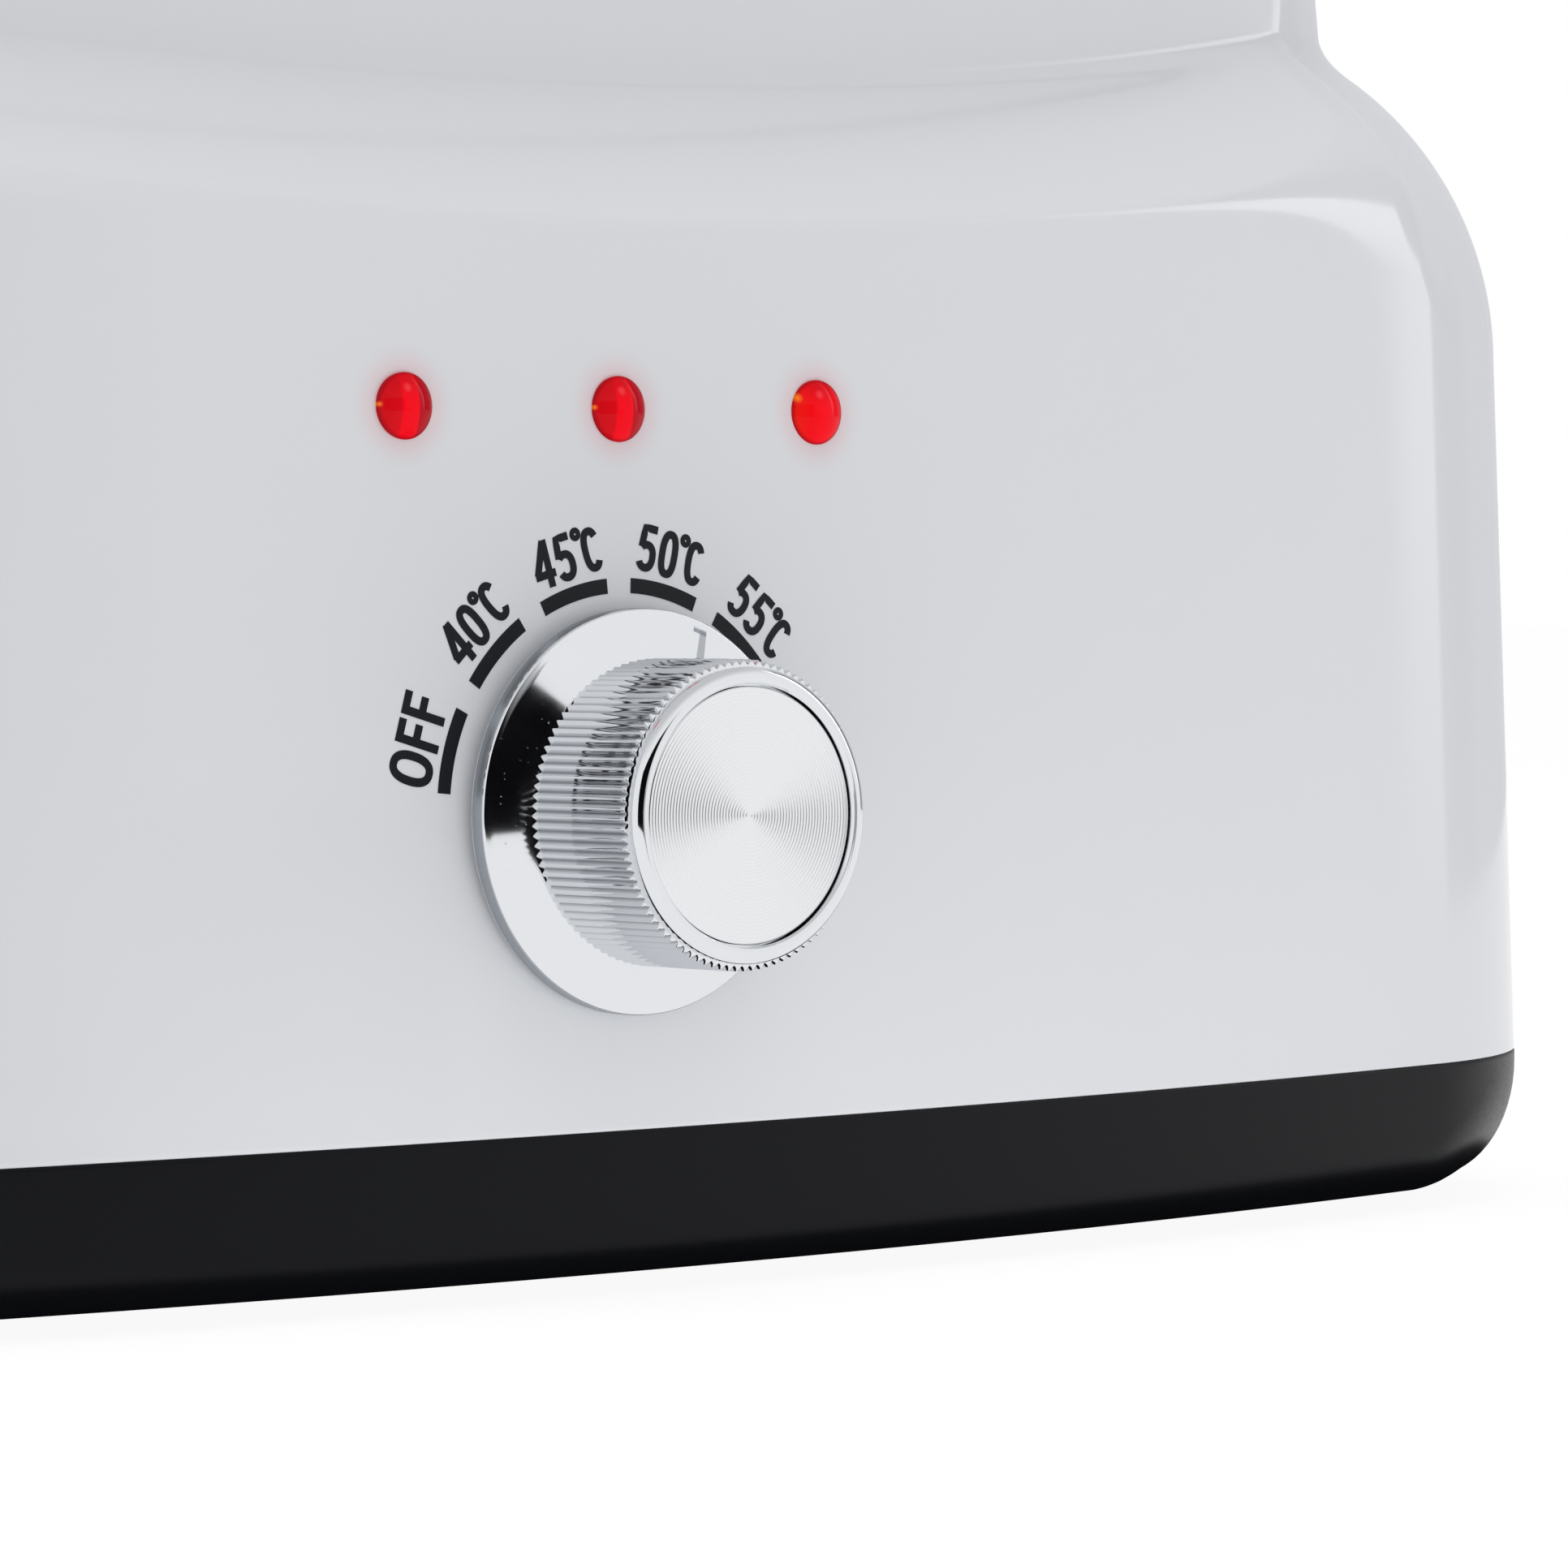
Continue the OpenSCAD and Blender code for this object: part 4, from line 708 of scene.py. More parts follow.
class WAXBATH_OT_housing(bpy.types.Operator):
    """Housing: drafted wall, shoulder from a side round to a front slope, filleted neck and rim"""
    bl_idname = "waxbath.housing"
    bl_label = "Housing"

    def execute(self, context):
        s, body = settings().shell, Body()
        wall_z = np.concatenate([[body.seam + SEAM_EDGE + SEAM_HOLD],
                                 np.linspace(body.seam + mm(4), s.side_height, WALL_ROWS)])
        foot = s.front_foot + (1 - s.front_foot) * body.sideways(s.round_from, s.tuck_to)
        near = s.shoulder - foot * s.foot_run
        turn = math.acos(1 - s.shoulder / s.side_round)
        share = (1 - np.cos(np.linspace(0, turn, SHOULDER_ROWS)[1:])) / (1 - math.cos(turn))
        shoulder = body.shoulder(share[:, None] * near)
        (foot_in,), (foot_z,) = body.shoulder([s.shoulder])
        near_in, near_z = shoulder[0][-1], shoulder[1][-1]
        rise = (s.rim_inset - foot_in) / (body.rim - foot_z)
        up_z = foot_z + foot * s.foot_rise
        fillet = self.hollow(near_in, foot_in, foot_in), self.hollow(near_z, foot_z, up_z)
        up_z, rim_e = up_z + mm(0.25), mm(0.8)
        top = body.rim - rim_e - SEAM_HOLD
        neck_z = up_z + np.linspace(0, 1, NECK_ROWS)[1:, None] * (top - up_z)
        inner, under = s.rim_inset + s.wall, body.rim - s.wall
        under_in, under_z = body.shoulder(np.linspace(s.shoulder, 0.0, UNDER_ROWS))
        points = rings(
            body.plan, body.shift,
            edge(SEAM_EDGE, body.seam + SEAM_EDGE, SEAM_EDGE, 270, 180),
            (body.lean * (wall_z - body.seam), wall_z),
            shoulder, fillet, (foot_in + rise * (neck_z - foot_z), neck_z),
            edge(s.rim_inset + rim_e, body.rim - rim_e, rim_e, 180, 90),
            ([inner + s.ledge, inner + s.ledge, inner], [body.rim, under, under]),
            (under_in + s.wall, under_z - s.wall), ([s.wall], [body.seam]))
        flange = Vector((mm(9), 0, mm(1.3)))
        low, high = INLET_LOW + flange, INLET_HIGH - flange
        hole = box_shell((low.x, body.shift + mm(90), low.z), (high.x, body.shift + mm(120), high.z))
        bush_r = mm(5.4)
        bush = solid(turned([(bush_r, mm(-12)), (bush_r, mm(4))], 48, dial_axis()))
        piece("housing_shell", [shell(points, loop=True)], "white_abs", "bath", ["housing"],
              cutters=[hole, bush], crease=50)
        return {"FINISHED"}

    def hollow(self, start, bend, end):
        """Rows of a hollow foot: (1 - t)^2 start + 2 t (1 - t) middle + t^2 end, between its two ends.

        The middle lies between the ends' mean and the bend."""
        pull = settings().shell.foot_bend
        middle = pull * bend + (1 - pull) * (start + end) / 2
        t = np.linspace(0, 1, FOOT_ROWS)[1:-1, None]
        return (1 - t) ** 2 * start + 2 * t * (1 - t) * middle + t * t * end


def dial_axis():
    """The point of the dial axis at the back of the knob."""
    return np.array([(KNOB_LOW.x + KNOB_HIGH.x) / 2, KNOB_HIGH.y, (KNOB_LOW.z + KNOB_HIGH.z) / 2])


class WAXBATH_OT_base(bpy.types.Operator):
    """Base: a shallow tray with a rounded lower edge, vents, screw wells and four rubber feet"""
    bl_idname = "waxbath.base"
    bl_label = "Base and feet"

    def execute(self, context):
        s, body = settings().shell, Body()
        low, lip_z, lip, step = BASE_LOW.z - mm(0.25), BASE_HIGH.z - mm(0.01), s.wall + mm(0.25), mm(2)
        a = np.radians(np.linspace(0, 90, 16))[:, None]
        share = body.sideways(s.tuck_from, s.tuck_to)
        tuck = s.front_tuck + (s.base_tuck - s.front_tuck) * share
        tall = s.front_edge + (s.base_edge - s.front_edge) * share
        floor_in, floor_z = s.base_tuck + s.floor, low + s.floor
        points = rings(
            body.plan, body.shift,
            ([s.base_tuck + step], [low]), (tuck * (1 - np.sin(a)), low + tall * (1 - np.cos(a))),
            ([0.0], [body.seam - SEAM_EDGE - SEAM_HOLD]),
            edge(SEAM_EDGE, body.seam - SEAM_EDGE, SEAM_EDGE, 180, 90),
            ([lip, lip, lip + step], [body.seam, lip_z, lip_z]),
            ([lip + step, floor_in, floor_in + step], [low + s.base_edge, floor_z, floor_z]))
        half_vent, front, back, pitch = mm(23), mm(54), mm(51), mm(9)
        vents = [box_shell((x - half_vent, y - front, low - mm(1)), (x + half_vent, y - back, low + mm(6)))
                 for x in (-mm(62), mm(62)) for y in body.shift + np.arange(6) * pitch]
        well_r = mm(4.1)
        wells = [peg(well_r, low - mm(1), low + mm(7), 32, *spot) for spot in screw_spots()]
        piece("base_tray", [solid(points)], "black_abs", "bath", ["base_pan"],
              cutters=vents + wells, crease=50)
        radius, soft, top = mm(9), mm(0.9), BASE_LOW.z - mm(0.05)
        foot = np.concatenate([[(mm(5.2), mm(0.5)), (mm(5.6), 0.0), (radius - mm(1), 0.0)],
                               arc((radius - soft, soft), soft, -80, 0, 6), [(radius, top), (mm(2.5), top)]])
        feet = [solid(stood(foot, 48, (x, y, 0))) for x in (FEET_LOW.x + radius, FEET_HIGH.x - radius)
                for y in (FEET_LOW.y + radius, FEET_HIGH.y - radius)]
        piece("feet_rubber", feet, "rubber", "bath", ["rubber_feet"])
        return {"FINISHED"}


def screw_spots():
    """Centres of the six base screws: four in the corners, two at the sides."""
    body, corner = Body(), settings().shell.corner
    inset, turn = mm(14.5), math.radians(50)
    reach = corner - inset
    x = body.half_w - corner + reach * math.sin(turn)
    y = abs(body.plan[0][BOW_STEPS + 1, 1]) + reach * math.cos(turn)
    spots = [(sx * x, sy * y) for sx in (-1, 1) for sy in (-1, 1)]
    spots += [(sx * (body.half_w - inset), 0.0) for sx in (-1, 1)]
    return [(px, py + body.shift) for px, py in spots]


class WAXBATH_OT_tank(bpy.types.Operator):
    """Tank: deep-drawn aluminium with a rounded floor and a rolled flange"""
    bl_idname = "waxbath.tank"
    bl_label = "Tank"

    def execute(self, context):
        s, body = settings().shell, Body()
        sheet, gap, floor_r, bead, corner, deep = mm(1.2), mm(1.5), mm(12), mm(3), mm(28), mm(83.5)
        stud_r, stud_x, stud_y = mm(2), mm(75.9), mm(36)
        tank_in = s.rim_inset + s.wall + s.ledge + gap
        tank = plan(body.half_w - tank_in, body.half_d - tank_in, corner, s.bow - tank_in)
        low, top = body.rim - deep, TANK_TOP
        inner_r, e = floor_r - sheet, sheet / 2
        a, b = np.radians(np.linspace(0, 90, 12)), np.radians(np.linspace(90, 0, 9))
        outer = rings(
            tank, body.shift, ([floor_r + mm(2)], [low]),
            (floor_r * (1 - np.sin(a)), low + floor_r * (1 - np.cos(a))),
            ([0.0, 0.0], [top - sheet - mm(2), top - sheet]))
        rim = rings(body.plan, body.shift, edge(s.rim_inset + mm(0.6) + e, top - e, e, 270, 90, 9))
        inside = rings(
            tank, body.shift, ([sheet - bead - mm(1)], [top]),
            (sheet - bead * (1 - np.cos(b)), top - bead * (1 - np.sin(b))),
            (np.full(10, sheet), np.linspace(top - bead - mm(1), low + floor_r + mm(1), 10)),
            (sheet + inner_r * (1 - np.cos(a)), low + sheet + inner_r * (1 - np.sin(a))),
            ([floor_r + mm(2)], [low + sheet]))
        studs = [peg(stud_r, low - mm(12), low + mm(0.5), 24, x, y + body.shift)
                 for x in (-stud_x, stud_x) for y in (-stud_y, stud_y)]
        piece("tank_drawn", [solid(np.concatenate([outer, rim, inside]))] + studs, "tank_aluminium",
              "bath", ["wax_tank"], crease=50)
        return {"FINISHED"}


class WAXBATH_OT_lid(bpy.types.Operator):
    """Lid: a shallow dome edge, a raised panel and an arched handle"""
    bl_idname = "waxbath.lid"
    bl_label = "Lid and handle"

    def execute(self, context):
        s, body = settings().shell, Body()
        wall, edge_r, e, play, lift = mm(2.4), mm(16), mm(0.5), mm(0.8), mm(0.3)
        margin, corner, slope = mm(9), mm(22), mm(4.2)
        lid_in, seat, top = s.rim_inset - play - wall, TANK_TOP + lift, LID_HIGH.z
        inner_r, middle, deck = edge_r - wall, lid_in + edge_r, seat + edge_r
        a, b = np.radians(np.linspace(0, 90, 22)), np.radians(np.linspace(90, 25, 9))
        outer = rings(
            body.plan, body.shift, edge(lid_in + e, LID_LOW.z + e, e, 270, 180),
            ([lid_in], [LID_LOW.z + e + mm(0.5)]),
            (middle - edge_r * np.cos(a), seat + edge_r * np.sin(a)), ([middle + mm(1)], [deck]))
        deck_in, u = middle + margin, np.linspace(0, 1, 14)
        panel = plan(body.half_w - deck_in, body.half_d - deck_in, corner, s.bow - deck_in)
        raised = rings(panel, body.shift, ([-mm(1)], [deck]), (slope * u, deck + (top - deck) * ease(u)),
                       ([mm(5.5)], [top]))
        under = rings(panel, body.shift,
                      ([mm(8), mm(6.4), mm(2.4)], [top - wall, top - wall, deck - wall]))
        inner = rings(
            body.plan, body.shift, (middle - inner_r * np.cos(b), seat + inner_r * np.sin(b)),
            ([s.rim_inset + mm(5), lid_in + wall, lid_in + wall], [seat, seat, LID_LOW.z]))
        points = np.concatenate([under, inner, outer, raised])
        piece("lid_cover", [solid(points)], "white_abs", "lid", ["lid"], crease=50)
        self.handle(body)
        return {"FINISHED"}

    def handle(self, body):
        """The handle's bar: a flattened superellipse between an outer and an inner arch.

        At each station the section's centre is midway between the arches, and its point at angle t is
        half the bar's thickness times |cos t|^n across and half the width times |sin t|^n along Y."""
        half_l, half_w = (HANDLE_HIGH.x - HANDLE_LOW.x) / 2, (HANDLE_HIGH.y - HANDLE_LOW.y) / 2
        low, tall, post, bar = HANDLE_LOW.z, HANDLE_HIGH.z - HANDLE_LOW.z, mm(14), mm(8)
        outer = self.arch(half_l, tall, mm(13), half_l / 3)
        inner = self.arch(half_l - post, tall - bar, mm(9), half_l / 3)
        across, along = superellipse(np.linspace(0, 2 * math.pi, 40, endpoint=False), 0.42)
        middle, half = (outer + inner) / 2, (outer - inner) / 2
        flat = middle[:, None, :] + half[:, None, :] * across[None, :, None]
        y = np.broadcast_to(along * half_w, flat.shape[:2]) + body.shift
        points = np.stack([flat[..., 0], y, flat[..., 1] + low], axis=-1)
        piece("handle_bar", [solid(points[:, ::-1])], "black_abs", "lid", ["lid_handle"], crease=60)

    def arch(self, half, tall, radius, level):
        """An arch from foot to foot: upright sides, round corners and a level top."""
        rise = np.linspace(0, 1, 6, endpoint=False)[:, None]
        left = np.concatenate([np.array([-half, 0]) + rise * np.array([0, tall - radius]),
                               arc((radius - half, tall - radius), radius, 180, 90, 14), [(-level, tall)]])
        return np.concatenate([left, left[::-1] * np.array([-1, 1])])


class WAXBATH_OT_dial(bpy.types.Operator):
    """Dial: a chrome knob with conical skirt, knurled grip, smooth rim and pointer slot, and a turned disc"""
    bl_idname = "waxbath.dial"
    bl_label = "Dial"

    def execute(self, context):
        d, axis = settings().dial, dial_axis()
        tall = KNOB_HIGH.y - KNOB_LOW.y
        cone, floor_h = d.skirt_edge + d.skirt_rise, tall - mm(1.5)
        core_r = d.grip - d.knurl - mm(0.35)
        self.skirt(d, axis, core_r, cone, floor_h)
        self.grip(d, axis, core_r, cone, floor_h, tall)
        self.disc(d, axis, tall)
        return {"FINISHED"}

    def skirt(self, d, axis, core_r, cone, floor_h):
        """The knob's core and conical skirt with the pointer slot, and the satin band round its edge."""
        e, bore, hub, hollow, deep = mm(0.28), mm(3.05), mm(5.2), mm(13), mm(16)
        slope = np.stack([np.linspace(d.skirt - mm(0.6), core_r, 12),
                          np.linspace(d.skirt_edge + mm(0.05), cone + mm(0.1), 12)], -1)
        core = np.concatenate([
            [(bore, mm(14.6)), (bore, mm(4.8)), (hub, mm(4.8)), (hub, deep), (hollow, deep), (hollow, 0.0),
             (d.skirt - mm(0.5), 0.0)],
            arc((d.skirt - e, e), e, -90, 0, 5), [(d.skirt - mm(0.04), e + mm(0.2))],
            arc((d.skirt - e, d.skirt_edge - e), e, 20, 78, 6), slope, [(core_r, floor_h)]])
        slot_w, near, far = mm(0.85), mm(14.4), mm(19.2)
        bar = np.array([(-slot_w, near), (slot_w, near), (slot_w, far), (-slot_w, far)])
        c, n = math.cos(d.pointer), math.sin(d.pointer)
        ring = bar @ np.array([[c, -n], [n, c]])
        rise = (d.skirt - bar[:, 1]) / (d.skirt - core_r) * d.skirt_rise + d.skirt_edge
        slot = solid(np.stack([np.column_stack([ring[:, 0], -h, ring[:, 1]]) + axis
                               for h in (rise - mm(0.6), rise + mm(2))]))
        piece("knob_chrome", [solid(turned(core, KNOB_COLUMNS, axis))], "chrome_abs", "dial",
              ["dial_knob"], cutters=[slot], crease=32)
        inside, brow, soft = d.skirt - mm(0.3), d.skirt - mm(0.02), mm(0.34)
        side = [(inside, mm(0.3)), (brow, mm(0.3)), (d.skirt, soft), (d.skirt, d.skirt_edge - soft),
                (brow, d.skirt_edge - e), (inside, d.skirt_edge - e)]
        piece("knob_band", [shell(turned(side, KNOB_COLUMNS, axis), loop=True)], "satin", "dial",
              crease=32)

    def grip(self, d, axis, core_r, cone, floor_h, tall):
        """The knurled grip and its smooth rim: rows of (radius, height, share of the knurl).

        Each groove is a triangle wave round the grip with its tips and floors flattened."""
        t = np.arange(d.knurls * TOOTH_COLUMNS) / TOOTH_COLUMNS
        groove = np.clip((np.abs(2 * (t - np.floor(t + 0.5))) - 0.08) / 0.84, 0, 1)
        end, rim, seat = tall - mm(1.25), d.grip - d.knurl - mm(0.25), core_r - mm(0.4)
        profile = np.array([
            (seat, cone - mm(0.5), 0), (d.grip, cone - mm(0.5), 1), (d.grip, cone + mm(0.6), 1),
            (d.grip, end - mm(0.5), 1), (d.grip, end - mm(0.25), 1), (d.grip - mm(0.2), end, 0.75),
            (rim, end + mm(0.02), 0), (rim, tall - mm(0.62), 0), (rim - mm(0.08), tall - mm(0.48), 0),
            (rim - mm(0.42), tall - mm(0.16), 0), (rim - mm(0.62), tall - mm(0.10), 0),
            (rim - mm(0.75), tall - mm(0.03), 0), (rim - mm(0.95), tall, 0), (d.disc + mm(0.55), tall, 0),
            (d.disc + mm(0.35), tall - mm(0.05), 0), (d.disc + mm(0.16), tall - mm(0.3), 0),
            (d.disc + mm(0.12), floor_h - mm(0.1), 0), (seat, floor_h - mm(0.2), 0)])
        depth = profile[:, 2:] * groove[None, :]
        points = turned(profile[:, :2], len(t), axis, -d.knurl * depth)
        # The own map holds each point's groove depth, for the painted shade in the knurl's finish.
        uv = np.stack([depth, np.zeros_like(depth)], -1).reshape(-1, 2)
        piece("knob_grip", [shell(points, loop=True)], "knurl_chrome", "dial",
              uv=uv, crease=32)

    def disc(self, d, axis, tall):
        """The turned disc: height falls by the ring depth and back within each ring, a cosine wave in radius.

        Real tool rings are about 0.27 mm apart; these are a little coarser so that they show."""
        radii = np.arange(mm(0.12), d.disc - mm(0.25), d.ring / 8)
        wave = 0.5 - 0.5 * np.cos(2 * math.pi * radii / d.ring)
        face, back = tall - mm(0.5), axis[1] - DISC_BACK
        rim = [(mm(1), back), (d.disc, back), (d.disc, face - mm(0.2)), (d.disc - mm(0.06), face - mm(0.06)),
               (d.disc - mm(0.2), face)]
        profile = np.concatenate([rim, np.stack([radii, face - d.ring_depth * wave], -1)[::-1]])
        across = np.repeat(profile[:, :1] / d.disc, DISC_COLUMNS, axis=1)
        around = np.broadcast_to(np.linspace(0, 1, DISC_COLUMNS, endpoint=False), across.shape)
        uv = np.stack([across, around], -1).reshape(-1, 2)
        piece("disc_turned", [solid(turned(profile, DISC_COLUMNS, axis))], "turned_aluminium",
              "dial", ["knob_disc"], uv=uv, crease=60)


class WAXBATH_OT_lenses(bpy.types.Operator):
    """Indicator lenses: three shallow red domes in the front wall"""
    bl_idname = "waxbath.lenses"
    bl_label = "Indicator lenses"

    def execute(self, context):
        body = Body()
        radius, dome, proud, collar = mm(3.25), mm(1.1), mm(0.2), mm(1.1)
        ball = (radius * radius + dome * dome) / (2 * dome)
        a = math.asin(radius / ball) * np.linspace(1, 0.03, 16)
        cap = np.stack([ball * np.sin(a), proud + dome - ball * (1 - np.cos(a))], -1)
        for name in LENSES:
            low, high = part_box(name)
            x, z = (low.x + high.x) / 2, (low.z + high.z) / 2
            centre = np.array([x, float(body.front(np.array(x), np.array(z))), z])
            back = centre[1] - high.y
            stem = [(mm(1.5), back), (radius + collar, back), (radius + collar, back + mm(0.9)),
                    (radius, back + mm(1)), (radius, -mm(0.3)), (radius, proud - mm(0.05))]
            points = turned(np.concatenate([stem, cap]), LENS_COLUMNS, centre)
            local = (points - centre)[..., [0, 2]] / (2 * radius) + 0.5
            finish = "red_lens_full" if name == "lens_right" else "red_lens"
            piece(f"{name}_lit", [solid(points)], finish, "bath", [name], uv=local.reshape(-1, 2), crease=35)
        return {"FINISHED"}


def ribbon(path, width, closed=False):
    """A flat stroke: the path's points moved half the width to either side along its normals."""
    path = np.asarray(path, float)
    if closed:
        along = np.roll(path, -1, axis=0) - np.roll(path, 1, axis=0)
    else:
        along = np.gradient(path, axis=0)
    along = along / np.linalg.norm(along, axis=1, keepdims=True)
    side = np.stack([-along[:, 1], along[:, 0]], -1) * width / 2
    strip = np.stack([path + side, path - side], axis=1)
    return np.concatenate([strip, strip[:1]]) if closed else strip


def line(start, end, steps=6):
    """Points on a straight stroke."""
    return np.linspace(start, end, steps)


def oval(cx, cy, a, b, start, end, power=2.5, steps=40):
    """Points on a superellipse, from one angle in degrees to another, anticlockwise."""
    x, y = superellipse(np.radians(np.linspace(start, end, steps)), 2 / power)
    return np.stack([cx + a * x, cy + b * y], -1)


def glyphs(s):
    """Strokes of the lettering in units of its height: (advance, open paths, closed paths), s the stroke."""
    h, w, wide = s / 2, 0.50, 0.64
    five = np.concatenate([line((w - h * 0.6, 1 - h), (h + 0.04, 1 - h), 4)[:-1],
                           line((h + 0.04, 1 - h), (h + 0.01, 0.50), 4)])
    bowl = oval(w / 2 - 0.01, 0.325, w / 2 - h + 0.01, 0.325 - h, 140, -150, 2.3)
    four = [line((0.36, 0.985), (h * 0.7, 0.30)), line((0.0, 0.28), (w + 0.03, 0.28)),
            line((0.37, 0.0), (0.37, 1.0))]
    return {
        "0": (0.57, [], [oval(w / 2, 0.5, w / 2 - h, 0.5 - h, 0, 351, 2.6)]),
        "4": (0.58, four, []),
        "5": (0.57, [five, bowl], []),
        "o": (0.16, [], [oval(0.075, 0.885, 0.082, 0.082, 0, 351, 2.0)]),
        "C": (0.46, [oval(w / 2 - 0.01, 0.47, w / 2 - h, 0.47 - h, 36, 322, 2.5)], []),
        "O": (0.73, [], [oval(wide / 2, 0.5, wide / 2 - h, 0.5 - h, 0, 351, 2.4)]),
        "F": (0.54, [line((h, 0.0), (h, 1.0)), line((h, 1 - h), (0.46, 1 - h)),
                     line((h, 0.53), (0.43, 0.53))], []),
    }


# Words of the scale and their angles from upright in degrees.
SCALE_MARKS = (("OFF", -73.5), ("40oC", -44.5), ("45oC", -15.5), ("50oC", 13.5), ("55oC", 42.5))
# Size of the word OFF, stroke of the degree sign, and the gap after a letter in letter heights.
OFF_SIZE, DEGREE_STROKE, LETTER_GAP = 1.08, 0.72, 0.07


class WAXBATH_OT_scale(bpy.types.Operator):
    """Printed scale: five bars and their lettering, laid on the bowed front wall"""
    bl_idname = "waxbath.scale"
    bl_label = "Printed scale"

    def execute(self, context):
        s, body, axis = settings().scale, Body(), dial_axis()
        stroke = s.stroke / s.letter
        letters = glyphs(stroke)
        flats = []
        for word, at in SCALE_MARKS:
            a = math.radians(at)
            c, n = math.cos(a), math.sin(a)
            sweep = np.linspace(a - s.bar_sweep / 2, a + s.bar_sweep / 2, 28)
            radial = np.linspace(s.bar_inside, s.bar_outside, 3)
            bar = np.stack([np.outer(np.sin(sweep), radial), np.outer(np.cos(sweep), radial)], -1)
            flats.append(bar[:, ::-1])
            steps = [letters[sign][0] for sign in word]
            starts = np.cumsum([0.0] + steps[:-1]) - (sum(steps) - LETTER_GAP) / 2
            size = s.letter * (OFF_SIZE if word == "OFF" else 1.0)
            for start, sign in zip(starts, word):
                width = stroke * (DEGREE_STROKE if sign == "o" else 1.0)
                _, opened, closed = letters[sign]
                strips = [ribbon(path, width) for path in opened]
                for strip in strips + [ribbon(path, width, True) for path in closed]:
                    u = (strip[..., 0] + start) * size
                    v = strip[..., 1] * size + s.letter_foot
                    flats.append(np.stack([v * n + u * c, v * c - u * n], -1))
        shells = []
        for k, flat in enumerate(flats):
            x, z = flat[..., 0] + axis[0], flat[..., 1] + axis[2]
            # Strokes that cross lie at slightly different heights.
            y = body.front(x, z) - s.proud - (k % 7) * mm(0.002)
            points = np.stack([x, y, z], -1)
            across = np.cross(points[1, 0] - points[0, 0], points[0, 1] - points[0, 0])
            shells.append(shell(points if across[1] > 0 else points[:, ::-1], wrap=False))
        piece("scale_print", shells, "ink", "bath")
        return {"FINISHED"}


class WAXBATH_OT_inlet(bpy.types.Operator):
    """Mains inlet: a flange with rounded edges round a deep recess"""
    bl_idname = "waxbath.inlet"
    bl_label = "Mains inlet"

    def execute(self, context):
        low, high = INLET_LOW, INLET_HIGH
        centre = np.array([(low.x + high.x) / 2, 0.0, (low.z + high.z) / 2])
        half_x, half_z = (high.x - low.x) / 2, (high.z - low.z) / 2
        face, back, flange = high.y, low.y, high.y - mm(2.5)
        e, corner, screw = mm(0.6), mm(3), mm(1.7)
        box, recess = (mm(14.5), mm(10.5), mm(1.5)), (mm(12.25), mm(8.25), mm(2.5))
        sections = [(*box, back), (*box, flange), (half_x, half_z, corner, flange)]
        for t in np.linspace(0, math.pi / 2, 5):
            drawn = e * (1 - math.cos(t))
            sections.append((half_x - drawn, half_z - drawn, corner, face - e + e * math.sin(t)))
        sections += [(mm(13.1), mm(9.1), corner, face), (mm(12.6), mm(8.6), mm(2.6), face - mm(0.15)),
                     (*recess, face - mm(0.6)), (*recess, face - mm(17))]
        points = []
        for hx, hz, r, y in sections:
            flat = rounded(hx, hz, r)
            points.append(np.column_stack([-flat[:, 0], np.full(len(flat), y), flat[:, 1]]) + centre)
        screws = [solid(turned([(screw, -face - mm(1)), (screw, mm(4) - face)], 24, (x, 0, centre[2])))
                  for x in (-mm(20), mm(20))]
        piece("inlet_socket", [solid(np.stack(points))], "black_abs", "bath", ["mains_inlet"],
              cutters=screws, crease=40)
        return {"FINISHED"}


class WAXBATH_OT_inner_parts(bpy.types.Operator):
    """Inner and small parts: every node that still shows gets the finish of its slot"""
    bl_idname = "waxbath.inner_parts"
    bl_label = "Inner and small parts"

    def execute(self, context):
        for name, obj in NODES.items():
            obj.data.materials.clear()
            obj.data.materials.append(FINISHES[SLOT_OF[name]])
        return {"FINISHED"}


SQUARE = ((-1, -1), (1, -1), (1, 1), (-1, 1))


def card(name, centre, toward, width, tall, material):
    """A flat card that faces a point, seen only in reflections."""
    centre, toward = Vector(centre), Vector(toward)
    turn = (toward - centre).to_track_quat("Z", "Y").to_matrix()
    corners = [turn @ Vector((sx * width / 2, sy * tall / 2, 0)) + centre for sx, sy in SQUARE]
    mesh = bpy.data.meshes.new(name)
    mesh.from_pydata(corners, [], [(0, 1, 2, 3)])
    own = mesh.uv_layers.new(name="surface")
    for place, (sx, sy) in zip(own.data, SQUARE):
        place.uv = ((1 - sx) / 2, (1 + sy) / 2)
    mirrored_only(name, mesh, material)


def stand(name, origin, material, bearing, away, wide, tall):
    """An upright card on the floor, seen from a plan point under a bearing and a width in degrees."""
    turn = math.radians(bearing)
    x, y = origin[0] + away * math.sin(turn), origin[1] - away * math.cos(turn)
    width = 2 * away * math.tan(math.radians(wide / 2))
    card(name, (x, y, tall / 2), (*origin, tall / 2), width, tall, material)


def mirrored_only(name, mesh, material):
    """Puts a mesh on the stage that only reflections show."""
    mesh.materials.append(material)
    obj = put(name, mesh)
    obj.visible_camera = False
    obj.visible_diffuse = False
    obj.visible_shadow = False


def card_light(name, stops, strength=1.0, axis="X"):
    """An emitter for a card: colours along the card's own map, across (X) or upwards (Y)."""
    material, tree = node_material(name)
    shade = colour_ramp(tree, own_map(tree)[1][axis], stops)
    glow = add(tree, "ShaderNodeEmission", {"Color": shade, "Strength": strength})
    add(tree, "ShaderNodeOutputMaterial", {"Surface": glow.outputs[0]})
    return material


